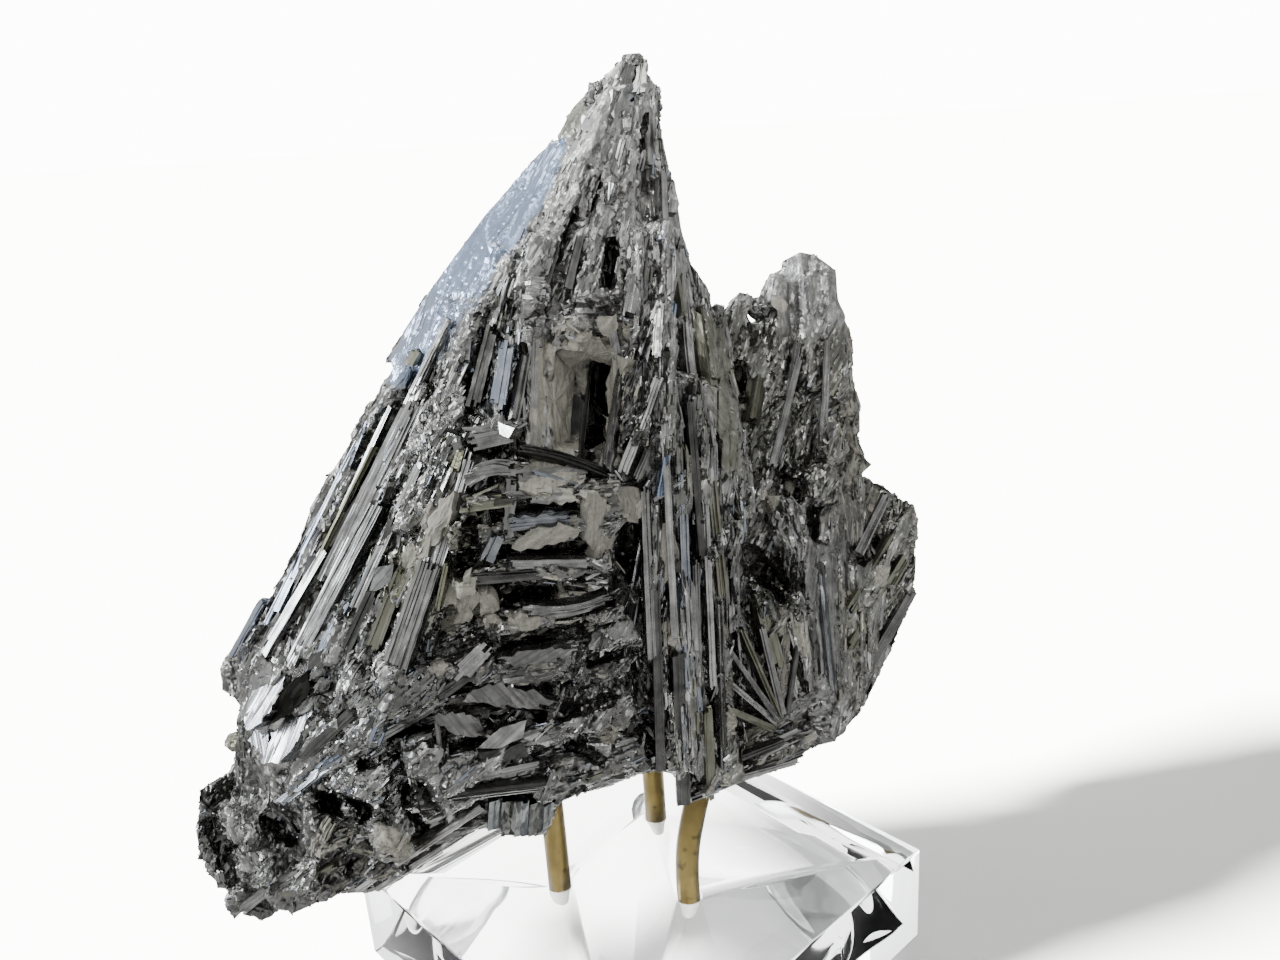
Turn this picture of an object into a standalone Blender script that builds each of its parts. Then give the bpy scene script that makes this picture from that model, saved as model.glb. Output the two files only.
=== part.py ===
"""Stibnite crystal spray on a clear display base.

A jagged group of intergrown metallic crystals is held clear of a square acrylic block by three brass
rods, and the block stands on four clear bumper feet. Run it with
blender --background --python part.py. Everything is in metres with +Z up, the show face of the
crystals looks towards -Y, and the feet stand on z = 0.
"""

import math
import random
from typing import NamedTuple

import bmesh
import bpy
from mathutils import Matrix, Vector

OBJECT_NAME = "stibnite_crystal_spray"
CUTTERS_NAME = "cutters"
GROWTH_NAME = "growth_shapes"
MM = 0.001

# Display base: a square block turned so that one corner points forwards.
BLOCK_SIDE = 57 * MM
BLOCK_THICKNESS = 15 * MM
BLOCK_TURN = math.radians(42)
BLOCK_EDGE_BEVEL = 0.35 * MM
FOOT_DIAMETER = 12.7 * MM
FOOT_HEIGHT = 3.5 * MM
FOOT_FLAT_DIAMETER = 6 * MM
FOOT_RIM = 0.8 * MM
FOOT_INSET = 10 * MM
FOOT_SIDES = 24

# Rods of 1/8 inch brass, standing a little way into blind holes that go on below them.
ROD_DIAMETER = 3.2 * MM
ROD_HOLE_DEPTH = 7.5 * MM
HOLE_SIDES = 24
GAP = 0.3 * MM  # left between pieces that touch

# How far grown crystals stray from the middle of their own size and direction.
WIDTH_SPREAD = (0.85, 1.35)
THICKNESS_SPREAD = (0.8, 1.25)
TAPER_SPREAD = (0.62, 0.95)
LARGEST_SLANT = 0.7
LEAN_SHARE = 0.3  # of the thickness, in or out of the surface
FACING_SCATTER = 0.18
FAN_WIDTH_SPREAD = (0.8, 1.3)
FAN_DEGREES_SCATTER = 3
LUMP_POINTS = 10
LUMP_REACH = (0.72, 1.1)
HOLLOW_NARROWING = 0.7  # width at the bottom of a hollow against its mouth
HOLLOW_UNEVENNESS = 0.09

CLUSTER_TRIANGLES = 7200  # what the fused crystals are thinned to

BLOCK_TOP = FOOT_HEIGHT + BLOCK_THICKNESS


def mm(x, y, z):
    """A point or direction given in millimetres."""
    return Vector((x, y, z)) * MM


ROD_ROUTES = {
    "brass_rod_left": (mm(-10.7, -4.1, 16.5), mm(-10.7, -4.1, 30), mm(-11.0, -4.1, 42)),
    "brass_rod_back": (mm(3.2, 9.7, 16.5), mm(3.2, 9.7, 30), mm(3.1, 9.6, 42.5)),
    "brass_rod_right": (
        mm(7.1, -8.2, 16.5),
        mm(7.0, -8.2, 21),
        mm(7.3, -8.1, 26),
        mm(8.3, -7.8, 31),
        mm(9.6, -7.4, 36),
        mm(10.6, -7.0, 41.5),
    ),
}
FOOT_SIGNS = {
    "bumper_foot_front": (-1, -1),
    "bumper_foot_right": (1, -1),
    "bumper_foot_back": (1, 1),
    "bumper_foot_left": (-1, 1),
}

# Solid masses that the crystals grow from, each the hull of its corners in millimetres.
MASSES = {
    "peak": (
        (6.6, -4, 125.0), (4.2, -7, 121.2), (8.9, -6, 121.4), (7, 1, 119), (-2.2, -4, 115.6),
        (-8.6, -6, 109), (-15, -6, 102), (3.6, -11.6, 110), (0.2, -16, 101), (-3.5, -18.6, 94),
        (9.4, -4, 116.5), (10.4, -5, 104), (11.6, -8, 95), (8, 6, 108), (-4, 6, 106), (10, 10, 94),
        (-14, 6, 94), (-21, -6, 93), (-12, -15.5, 91), (12, -9, 91), (12, 8, 90), (-18, 8, 90),
    ),
    "flank_slab": (
        (-2.6, -5, 117), (-10.6, -7.6, 109.9), (-17.6, -8.2, 102.2), (-23.6, -8.4, 94.6),
        (-1.4, -10.6, 113.6), (-12.4, -16.2, 98.4), (-18.6, -15.2, 91.6), (-4, 2, 112),
        (-20, 2, 92),
    ),
    "body": (
        (-22, -6.5, 94), (-10, -17, 95), (3, -16, 96), (11, -8.6, 95), (13, 8, 92), (-16, 9, 93),
        (-34.5, -11, 73.5), (-20, -22.5, 75), (0, -19, 73), (14, -8, 72), (17, 10, 70),
        (-29, 11, 70), (-42.5, -12.6, 55.5), (-24, -25.5, 53), (-7, -17, 44), (11, -9.6, 44),
        (14, 10, 42), (-26, 10, 45), (-41, 0, 50),
    ),
    "keel": (
        (-20, -19, 46), (-15, -15.5, 38.6), (-6, -13, 38.4), (4, -11, 39.4), (12, -9, 39),
        (13, 8, 39.4), (0, 13, 41), (-16, 9, 41), (-22, -4, 42), (-8, -17, 47), (10, -10, 48),
    ),
    "rear_peak": (
        (27.2, 16, 99.4), (31, 16.4, 98), (24.2, 14.6, 97.8), (34.2, 15.4, 89), (19.8, 10, 91),
        (34.6, 14.4, 79), (16.4, 6, 86), (33, 10, 74), (23, 5, 78), (17, 2.4, 66), (33, 10, 60),
        (27, 27, 90), (33, 27, 70), (18, 27, 72), (12, 12, 70),
    ),
    "rear_foot": (
        (17, 2.4, 67), (32.4, 9, 66), (19, -1.6, 50), (31.4, 3, 44), (23, -3.4, 40), (12, -8, 41),
        (28.6, 0, 36.6), (32.4, 4, 38), (33, 26, 66), (16, 27, 66), (30, 22, 44), (14, 20, 44),
        (10, 8, 60), (20, 8, 37.6),
    ),
    "side_lobe": (
        (34.4, 14.6, 70.6), (41, 15.6, 65.6), (42.6, 14, 60), (40.8, 10.6, 51.6), (33, 6, 49.6),
        (34.4, 4, 39.4), (30.4, 2, 38), (38, 24, 62), (36.6, 24, 48), (31, 20, 41), (28, 20, 70),
    ),
    "lower_lobe": (
        (-50.4, -12, 45), (-52.0, -14, 35), (-50.0, -17.2, 27.6), (-45.0, -18.6, 28.2), (-36, -20.6, 33),
        (-24, -20.6, 38), (-20, -24, 46), (-24, -25, 53), (-44.6, -15, 54), (-44, -4, 50),
        (-42, -4, 38), (-30, -6, 42), (-18, -8, 44),
    ),
}


class Patch(NamedTuple):
    """Crystals side by side over four corners, running from the foot edge to the tip edge."""

    foot_start: tuple
    foot_end: tuple
    tip_end: tuple
    tip_start: tuple
    rows: int
    columns: int
    thickness: float
    seed: int
    sides: int = 6
    overlap: float = 1.4
    fill: float = 1.1
    scatter: float = 0.16
    wander: float = 0.3


PATCHES = {
    "flank_prisms": Patch(
        (-43.2, -13.0, 62.4), (-28.6, -23.8, 57.6), (-11.0, -19.4, 94.6), (-22.6, -8.4, 92.4),
        1, 8, 4.6, 11, overlap=1.0, fill=1.15, wander=0.12,
    ),
    "upper_face": Patch(
        (-12.6, -15.0, 97.0), (11.4, -7.6, 98.0), (8.8, -5.6, 121.6), (3.0, -6.6, 120.6),
        3, 4, 4.4, 12, overlap=1.5, scatter=0.24,
    ),
    "peak_left_edge": Patch(
        (-5.0, -7.4, 110.6), (0.6, -10.6, 108.6), (6.0, -5.4, 124.4), (2.0, -4.4, 120.6),
        2, 2, 3.6, 13, fill=1.0, scatter=0.2,
    ),
    "granular_band": Patch(
        (-23.6, -24.2, 72.0), (-15.4, -24.0, 72.0), (-3.6, -15.2, 107.0), (-9.0, -14.2, 105.0),
        3, 2, 4.2, 14, fill=1.0, scatter=0.22,
    ),
    "columns": Patch(
        (5.2, -15.6, 40.2), (13.6, -11.4, 41.6), (15.8, -7.4, 89.0), (4.2, -17.2, 94.0),
        1, 7, 4.6, 15, overlap=1.0, fill=1.05, scatter=0.07, wander=0.15,
    ),
    "columns_front": Patch(
        (7.0, -16.2, 44.0), (13.8, -12.0, 46.0), (15.2, -8.6, 84.0), (7.0, -17.4, 88.0),
        2, 3, 3.4, 16, overlap=1.2, fill=0.6, scatter=0.3,
    ),
    "right_of_vug": Patch(
        (2.6, -19.0, 84.0), (7.4, -17.0, 84.0), (8.6, -10.0, 107.0), (4.4, -13.4, 107.0),
        2, 2, 4.0, 17, fill=1.0,
    ),
    "cleavage_steps": Patch(
        (-46.4, -14.4, 45.6), (-25.4, -26.2, 49.0), (-25.0, -24.6, 64.6), (-42.6, -14.0, 66.0),
        2, 3, 3.8, 18, overlap=1.3,
    ),
    "lower_ledges": Patch(
        (-24.6, -26.6, 68.0), (-23.6, -26.8, 48.0), (1.6, -17.2, 46.0), (1.4, -20.6, 66.6),
        2, 4, 4.6, 19, sides=4, overlap=1.25, fill=0.85, scatter=0.3, wander=0.6,
    ),
    "boxwork_shelves": Patch(
        (-15.6, -24.0, 85.6), (-15.0, -26.2, 69.6), (1.2, -21.6, 68.6), (1.4, -20.6, 84.6),
        1, 5, 5.6, 20, sides=4, overlap=1.1, fill=0.66, wander=0.5,
    ),
    "keel_crystals": Patch(
        (-24.6, -22.4, 49.0), (-24.6, -19.6, 41.0), (-5.6, -14.6, 40.0), (-7.0, -19.2, 47.6),
        1, 3, 4.2, 21, overlap=1.0, fill=1.0, wander=0.5,
    ),
    "keel_underside": Patch(
        (-22.0, -6.0, 39.6), (-14.0, 8.0, 40.2), (14.0, 7.0, 38.4), (9.0, -9.6, 38.6),
        1, 3, 3.0, 22, sides=4, overlap=1.0,
    ),
    "rear_upper": Patch(
        (17.0, 3.4, 70.0), (34.0, 9.4, 71.0), (32.0, 15.6, 97.6), (23.0, 13.0, 97.0),
        2, 3, 5.0, 23, scatter=0.2,
    ),
    "rear_lower": Patch(
        (24.0, -2.0, 39.4), (33.8, 3.6, 38.4), (34.8, 10.6, 72.0), (21.0, 1.6, 70.0),
        2, 3, 4.6, 24, fill=1.05,
    ),
    "lower_right_ledge": Patch(
        (7.6, -14.0, 41.6), (7.4, -12.6, 37.6), (26.6, -2.4, 36.6), (25.6, -3.6, 41.0),
        1, 3, 4.2, 25, overlap=1.1, fill=1.0,
    ),
    "side_blades": Patch(
        (31.6, 5.4, 56.6), (33.4, 3.0, 42.0), (42.6, 10.4, 53.0), (39.6, 12.6, 66.6),
        1, 4, 4.6, 26, overlap=1.1, fill=0.95,
    ),
    "side_rim": Patch(
        (34.4, 3.6, 39.6), (35.4, 20.0, 42.0), (41.0, 20.0, 64.0), (42.0, 12.0, 60.0),
        1, 3, 4.0, 27, sides=4, overlap=1.0, fill=0.9, scatter=0.1,
    ),
    "back_main": Patch(
        (15.0, 13.0, 43.0), (-30.0, 12.4, 46.0), (-14.0, 9.4, 95.0), (9.0, 9.4, 96.0),
        2, 4, 5.4, 28, scatter=0.3,
    ),
    "back_peak": Patch(
        (9.0, 9.0, 92.0), (-14.0, 7.6, 92.0), (1.0, 1.0, 117.6), (7.4, 1.4, 119.6),
        2, 3, 4.2, 29, sides=4, scatter=0.3,
    ),
    "back_right": Patch(
        (32.0, 23.0, 43.0), (14.0, 22.0, 42.0), (22.0, 24.6, 88.0), (31.0, 24.0, 90.0),
        2, 3, 5.4, 30, scatter=0.4,
    ),
    "left_back": Patch(
        (-29.0, 10.0, 44.0), (-43.6, -2.0, 46.0), (-22.0, -3.0, 92.0), (-14.0, 8.0, 92.0),
        2, 3, 4.6, 31, scatter=0.3,
    ),
}


class Crystal(NamedTuple):
    """One crystal that stands out from its neighbours, from foot to tip, in millimetres."""

    foot: tuple
    tip: tuple
    width: float
    thickness: float
    facing: tuple = (0, -1, 0)
    taper: float = 0.8
    slant: float = 0.4


CRYSTALS = {
    "ribbed_blade": Crystal((-22.0, -25.4, 63.6), (-13.6, -22.4, 89.4), 4.6, 3.4, (-0.1, -1, 0.1)),
    "blue_blade": Crystal((-10.2, -20.8, 89.0), (-8.4, -17.6, 100.4), 2.6, 3.2),
    "blade_by_slot": Crystal((-7.4, -21.0, 86.0), (-6.2, -17.8, 99.6), 1.8, 3.4),
    "crossing_blade": Crystal((11.4, -16.0, 70.8), (19.4, -8.0, 77.2), 1.9, 1.6),
    "bottom_edge_prism": Crystal((-35.4, -20.6, 32.8), (-14.6, -15.6, 40.2), 3.4, 3.6, (0.2, -1, 0.5)),
    "keel_block": Crystal((-12.6, -14.4, 36.2), (-10.8, -15.4, 43.6), 8.0, 6.0, (0.2, -1, -0.1), 1.0),
    "small_peak": Crystal((17.4, 9.0, 86.6), (19.2, 12.0, 96.8), 6.0, 4.6, (0.2, -1, 0), 0.35, 0.0),
    "rear_cap": Crystal((28.4, 12.6, 88.6), (28.4, 16.0, 100.4), 9.4, 8.0, (0.1, -1, 0.2), 0.5, -0.2),
    "edge_knob": Crystal((-46.8, -9.6, 54.0), (-45.4, -9.0, 62.0), 4.6, 4.6, (-0.4, -1, 0), 0.6),
    "edge_blob": Crystal((-47.6, -12.4, 46.6), (-45.8, -11.6, 54.4), 2.6, 3.4, (-0.6, -1, 0), 0.8),
    "bottom_spike": Crystal((16.6, -8.6, 40.0), (20.4, -7.4, 35.4), 2.0, 2.2, (0.3, -1, 0), 0.3),
    "ledge_tooth": Crystal((8.2, -13.4, 42.0), (8.2, -14.2, 36.2), 3.0, 3.4, (0, -1, 0), 0.6),
    "mirror_blade": Crystal((13.0, -9.0, 90.0), (12.2, -5.4, 104.4), 2.0, 3.0, (0.5, -1, 0.2), 0.8),
    "tall_right_edge": Crystal((15.4, -5.6, 74.0), (13.4, -4.4, 97.0), 4.4, 5.0, (0.5, -1, 0.2), 0.7),
}

# The fan of blades low on the right, spreading from one point.
FAN_CENTRE = (24.0, -3.6, 44.4)
FAN_BLADES = 9
FAN_FIRST_DEGREES = 96
FAN_LAST_DEGREES = 196
FAN_LENGTHS = (15.0, 19.0)
FAN_DEPTH_RISE = 0.34
FAN_BLADE_WIDTH = 2.3
FAN_BLADE_THICKNESS = 2.6
FAN_SEED = 41


class Rubble(NamedTuple):
    """Broken lumps along a line, in millimetres."""

    start: tuple
    end: tuple
    count: int
    size: float
    wander: float
    seed: int


RUBBLE = {
    "lobe_left_edge": Rubble((-50.6, -13.0, 44.0), (-51.4, -14.6, 32.6), 4, 3.4, 0.8, 51),
    "lobe_bottom": Rubble((-50.0, -17.0, 30.0), (-35.0, -20.4, 33.4), 5, 3.6, 0.5, 52),
    "lobe_front": Rubble((-46.0, -17.6, 42.0), (-26.0, -25.0, 45.0), 5, 4.6, 1.2, 53),
    "lobe_lower_front": Rubble((-45.0, -19.6, 35.0), (-26.0, -23.0, 39.6), 4, 4.2, 0.8, 54),
    "lobe_back": Rubble((-44.0, -5.6, 46.0), (-32.0, -6.0, 40.0), 2, 4.8, 1.0, 55),
    "matted_middle": Rubble((-5.0, -20.0, 60.0), (2.0, -14.6, 44.0), 4, 4.0, 1.2, 56),
    "rear_shoulder": Rubble((32.6, 13.0, 88.0), (33.4, 10.0, 72.0), 3, 3.2, 0.6, 57),
    "rear_crust": Rubble((27.6, 5.0, 80.0), (29.0, 4.0, 64.0), 3, 3.6, 1.2, 58),
    "side_lobe_rim": Rubble((39.0, 15.0, 66.0), (33.0, 3.0, 39.0), 4, 3.4, 0.8, 59),
    "underside": Rubble((-24.0, -14.0, 40.6), (20.0, 4.0, 38.6), 3, 3.8, 1.0, 60),
    "back_rubble": Rubble((-24.0, 11.0, 52.0), (24.0, 25.0, 60.0), 3, 5.0, 2.0, 61),
}


class Hollow(NamedTuple):
    """A pit or crack with its centre, size along X, Y and Z, and turn about Y in degrees."""

    centre: tuple
    size: tuple
    turn: float = 0.0
    seed: int = 1


HOLLOWS = {
    "main_vug": Hollow((-0.9, -18.0, 90.8), (7.6, 13.0, 11.4), 3.0, 71),
    "vug_slot": Hollow((1.2, -14.0, 90.0), (2.2, 18.0, 10.0), 3.0, 72),
    "peak_slot": Hollow((2.9, -14.6, 103.6), (1.5, 8.0, 6.2), 6.0, 73),
    "blade_slot": Hollow((-12.2, -19.0, 94.0), (1.9, 9.0, 7.6), 8.0, 74),
    "shelf_gap_top": Hollow((-7.6, -24.0, 82.0), (11.0, 10.0, 1.9), 6.0, 75),
    "shelf_gap_middle": Hollow((-6.6, -24.0, 77.0), (9.6, 10.0, 1.7), 4.0, 76),
    "shelf_hole": Hollow((-8.4, -25.4, 71.6), (8.4, 11.0, 3.0), -4.0, 77),
    "side_hole": Hollow((2.0, -20.0, 74.6), (4.0, 10.0, 8.0), 4.0, 78),
    "wave_crack": Hollow((-13.4, -27.0, 62.2), (11.0, 9.0, 1.7), 10.0, 79),
    "ledge_crack": Hollow((-14.0, -26.4, 56.0), (12.0, 9.0, 1.9), -10.0, 80),
    "keel_crack": Hollow((-14.6, -22.6, 47.6), (10.0, 8.0, 1.4), 8.0, 81),
    "column_recess": Hollow((4.2, -15.6, 46.4), (3.0, 8.0, 9.0), 0.0, 82),
    "column_crack": Hollow((3.6, -19.6, 62.0), (1.6, 8.0, 9.0), 4.0, 83),
    "lobe_pit_left": Hollow((-48.8, -17.6, 39.0), (3.6, 5.0, 3.8), 20.0, 84),
    "lobe_pit_middle": Hollow((-41.0, -21.6, 42.0), (4.2, 6.0, 4.4), -15.0, 85),
    "lobe_pit_right": Hollow((-33.4, -25.0, 48.2), (4.6, 6.0, 3.4), 25.0, 86),
    "lobe_pit_front": Hollow((-23.6, -27.4, 48.2), (5.0, 7.0, 4.0), -20.0, 87),
    "lobe_notch": Hollow((-42.6, -19.4, 29.4), (2.6, 8.0, 3.6), 30.0, 88),
    "rear_pit_upper": Hollow((17.8, 4.6, 86.4), (3.4, 8.0, 4.0), 0.0, 89),
    "rear_pit_lower": Hollow((19.0, -1.0, 66.0), (6.0, 7.0, 6.4), 10.0, 90),
    "side_pit": Hollow((36.4, 8.4, 60.0), (4.6, 6.0, 2.0), 40.0, 91),
    "flank_notch": Hollow((-36.4, -17.6, 68.4), (1.4, 5.0, 12.0), 28.0, 92),
    "back_crack": Hollow((-6.0, 13.0, 66.0), (2.4, 7.0, 14.0), -12.0, 93),
    "back_pit": Hollow((6.0, 14.4, 56.0), (6.0, 7.0, 5.0), 15.0, 94),
}


def remove_all_objects():
    for obj in list(bpy.data.objects):
        bpy.data.objects.remove(obj, do_unlink=True)


def new_collection(name):
    collection = bpy.data.collections.new(name)
    bpy.context.scene.collection.children.link(collection)
    return collection


def new_material(name, colour, roughness, metallic=0.0, transmission=0.0, ior=1.5):
    material = bpy.data.materials.new(name)
    material.use_nodes = True
    shader = material.node_tree.nodes["Principled BSDF"]
    shader.inputs["Base Color"].default_value = (*colour, 1.0)
    shader.inputs["Roughness"].default_value = roughness
    shader.inputs["Metallic"].default_value = metallic
    shader.inputs["Transmission Weight"].default_value = transmission
    shader.inputs["IOR"].default_value = ior
    return material


def object_from_bmesh(name, bm, collection):
    """Turns a bmesh into an object and frees the bmesh."""
    bmesh.ops.recalc_face_normals(bm, faces=bm.faces[:])
    mesh = bpy.data.meshes.new(name)
    bm.to_mesh(mesh)
    bm.free()
    obj = bpy.data.objects.new(name, mesh)
    collection.objects.link(obj)
    return obj


def as_helper(obj):
    obj.hide_render = True
    obj.display_type = "WIRE"
    return obj


def add_boolean(obj, name, operation, operand):
    """Adds an exact Boolean with an object or a collection as its operand."""
    modifier = obj.modifiers.new(name, "BOOLEAN")
    modifier.operation = operation
    modifier.solver = "EXACT"
    if isinstance(operand, bpy.types.Collection):
        modifier.operand_type = "COLLECTION"
        modifier.collection = operand
    else:
        modifier.object = operand


def evaluated_mesh(obj):
    graph = bpy.context.evaluated_depsgraph_get()
    return bpy.data.meshes.new_from_object(obj.evaluated_get(graph))


# Shapes of the crystal group


def hull(name, points, collection):
    """The convex solid round some points."""
    bm = bmesh.new()
    for point in points:
        bm.verts.new(point)
    made = bmesh.ops.convex_hull(bm, input=bm.verts[:])
    loose = {item for item in made["geom_interior"] if isinstance(item, bmesh.types.BMVert)}
    bmesh.ops.delete(bm, geom=list(loose), context="VERTS")
    return as_helper(object_from_bmesh(name, bm, collection))


def axes_along(direction, facing):
    """A turn that takes Z along the direction and -Y as near as it can to the facing."""
    along = direction.normalized()
    front = (facing - along * facing.dot(along)).normalized()
    side = along.cross(-front).normalized()
    return Matrix((-side, -front, along)).transposed().to_4x4()


def crystal(name, foot, tip, width, thickness, facing, taper, slant, collection, sides=6):
    """A prism with a flat front face and a slanting end."""
    length = (tip - foot).length
    bm = bmesh.new()
    radius = 0.5 / math.cos(math.pi / sides)
    bmesh.ops.create_cone(
        bm, cap_ends=True, segments=sides, radius1=radius, radius2=radius * taper, depth=1.0
    )
    bmesh.ops.rotate(bm, verts=bm.verts[:], matrix=Matrix.Rotation(math.pi / sides, 3, "Z"))
    for vert in bm.verts:
        vert.co.z += 0.5
    bmesh.ops.scale(bm, vec=(width, thickness, length), verts=bm.verts[:])
    for vert in bm.verts:
        if vert.co.z > length / 2:
            vert.co.z += slant * vert.co.x
    bm.transform(Matrix.Translation(foot) @ axes_along(tip - foot, facing))
    return as_helper(object_from_bmesh(name, bm, collection))


def rough_lump(name, centre, size, rng, collection):
    """A broken lump: the hull of points scattered about an uneven ball."""
    points = []
    for _ in range(LUMP_POINTS):
        direction = Vector((rng.gauss(0, 1), rng.gauss(0, 1), rng.gauss(0, 1))).normalized()
        points.append(centre + direction * size * rng.uniform(*LUMP_REACH))
    return hull(name, points, collection)


def between(start, end, share):
    return Vector(start).lerp(Vector(end), share)


def on_patch(patch, across, along):
    start = between(patch.foot_start, patch.foot_end, across)
    return start.lerp(between(patch.tip_start, patch.tip_end, across), along)


def grow_patch(name, patch, collection):
    """Grows rows of crystals over a patch, leaning with its two side edges."""
    rng = random.Random(patch.seed)
    foot_start, foot_end = Vector(patch.foot_start), Vector(patch.foot_end)
    tip_start, tip_end = Vector(patch.tip_start), Vector(patch.tip_end)
    outward = (foot_end - foot_start).cross(tip_start - foot_start).normalized()
    for row in range(patch.rows):
        for column in range(patch.columns):
            across = (column + 0.5) / patch.columns
            foot_across = across + rng.uniform(-1, 1) * patch.wander / patch.columns
            tip_across = across + rng.uniform(-1, 1) * patch.wander / patch.columns
            low = row / patch.rows + rng.uniform(-1, 1) * patch.scatter / patch.rows
            high = (row + patch.overlap) / patch.rows + rng.uniform(-1, 1) * patch.scatter / patch.rows
            low, high = max(low, -0.02), min(high, 1.02)
            foot = on_patch(patch, foot_across, low)
            tip = on_patch(patch, tip_across, high)
            spacing = between(foot_end - foot_start, tip_end - tip_start, (low + high) / 2).length
            width = spacing / patch.columns * patch.fill * rng.uniform(*WIDTH_SPREAD)
            lean = outward * rng.uniform(-0.5, 0.9) * patch.thickness * LEAN_SHARE
            sideways = Vector((rng.gauss(0, 1), rng.gauss(0, 1), rng.gauss(0, 1))) * FACING_SCATTER
            crystal(
                f"{name}_{row}_{column}",
                (foot + lean) * MM,
                (tip + lean * rng.uniform(0.3, 1.0)) * MM,
                width * MM,
                patch.thickness * rng.uniform(*THICKNESS_SPREAD) * MM,
                outward + sideways,
                rng.uniform(*TAPER_SPREAD),
                rng.uniform(-LARGEST_SLANT, LARGEST_SLANT),
                collection,
                patch.sides,
            )


def grow_fan(collection):
    """Blades that spread from one point over the lower right of the show face."""
    rng = random.Random(FAN_SEED)
    centre = Vector(FAN_CENTRE)
    for number in range(FAN_BLADES):
        share = number / (FAN_BLADES - 1)
        degrees = FAN_FIRST_DEGREES + (FAN_LAST_DEGREES - FAN_FIRST_DEGREES) * share
        angle = math.radians(degrees + rng.uniform(-FAN_DEGREES_SCATTER, FAN_DEGREES_SCATTER))
        direction = Vector((math.cos(angle), math.cos(angle) * FAN_DEPTH_RISE, math.sin(angle)))
        tip = centre + direction * rng.uniform(*FAN_LENGTHS)
        crystal(
            f"fan_{number}",
            centre * MM,
            tip * MM,
            FAN_BLADE_WIDTH * rng.uniform(*FAN_WIDTH_SPREAD) * MM,
            FAN_BLADE_THICKNESS * MM,
            Vector((0.1, -1, 0.1)),
            1.3,
            rng.uniform(-0.5, 0.5),
            collection,
        )


def grow_rubble(name, rubble, collection):
    rng = random.Random(rubble.seed)
    for number in range(rubble.count):
        wander = Vector((rng.uniform(-1, 1), rng.uniform(-1, 1), rng.uniform(-1, 1))) * rubble.wander
        centre = between(rubble.start, rubble.end, (number + 0.5) / rubble.count) + wander
        size = rubble.size * rng.uniform(0.8, 1.2)
        rough_lump(f"{name}_{number}", centre * MM, size * MM, rng, collection)


def cut_hollow(name, hollow, collection):
    """A tapering box with uneven corners, widest where it opens towards the outside."""
    rng = random.Random(hollow.seed)
    turn = Matrix.Rotation(math.radians(hollow.turn), 3, "Y")
    outside = -1 if hollow.centre[1] < 10 else 1
    points = []
    for x in (-0.5, 0.5):
        for y in (-0.5, 0.5):
            for z in (-0.5, 0.5):
                narrow = 1.0 if y * outside > 0 else HOLLOW_NARROWING
                corner = Vector((x * narrow, y, z * narrow))
                corner += Vector([rng.uniform(-1, 1) * HOLLOW_UNEVENNESS for _ in range(3)])
                corner = turn @ Vector([c * s for c, s in zip(corner, hollow.size)])
                points.append((Vector(hollow.centre) + corner) * MM)
    return hull(name, points, collection)


def rod_tube(name, route, radius, collection):
    """A round bar along a route, as a mesh with its end caps welded."""
    curve = bpy.data.curves.new(name, "CURVE")
    curve.dimensions = "3D"
    curve.bevel_depth = radius
    curve.bevel_resolution = 3
    curve.use_fill_caps = True
    spline = curve.splines.new("POLY")
    spline.points.add(len(route) - 1)
    for point, place in zip(spline.points, route):
        point.co = (*place, 1.0)
    guide = bpy.data.objects.new(name, curve)
    collection.objects.link(guide)
    bpy.context.view_layer.update()
    bm = bmesh.new()
    bm.from_mesh(evaluated_mesh(guide))
    bpy.data.objects.remove(guide, do_unlink=True)
    bmesh.ops.remove_doubles(bm, verts=bm.verts[:], dist=0.001 * MM)
    return object_from_bmesh(name, bm, collection)


def smooth_route(points):
    """Points along a smooth curve through the given ones (Catmull-Rom)."""
    steps = 4
    padded = [points[0], *points, points[-1]]
    route = []
    for before, start, end, after in zip(padded, padded[1:], padded[2:], padded[3:]):
        for step in range(steps):
            t = step / steps
            route.append(
                0.5
                * (
                    2 * start
                    + (end - before) * t
                    + (2 * before - 5 * start + 4 * end - after) * t**2
                    + (3 * start - before - 3 * end + after) * t**3
                )
            )
    return [*route, points[-1]]


def keep_largest_skin(mesh, name, collection):
    """Keeps the biggest closed skin of a mesh, without sealed pockets or loose crumbs."""
    bm = bmesh.new()
    bm.from_mesh(mesh)
    bmesh.ops.remove_doubles(bm, verts=bm.verts[:], dist=0.002 * MM)
    bmesh.ops.dissolve_degenerate(bm, edges=bm.edges[:], dist=0.002 * MM)
    bmesh.ops.triangulate(bm, faces=bm.faces[:])
    unseen = set(bm.faces)
    skins = []
    while unseen:
        stack = [unseen.pop()]
        skin = []
        while stack:
            face = stack.pop()
            skin.append(face)
            for edge in face.edges:
                for other in edge.link_faces:
                    if other in unseen:
                        unseen.discard(other)
                        stack.append(other)
        skins.append(skin)
    skins.sort(key=lambda skin: sum(face.calc_area() for face in skin))
    extra = [face for skin in skins[:-1] for face in skin]
    bmesh.ops.delete(bm, geom=extra, context="FACES")
    return object_from_bmesh(name, bm, collection)


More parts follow.
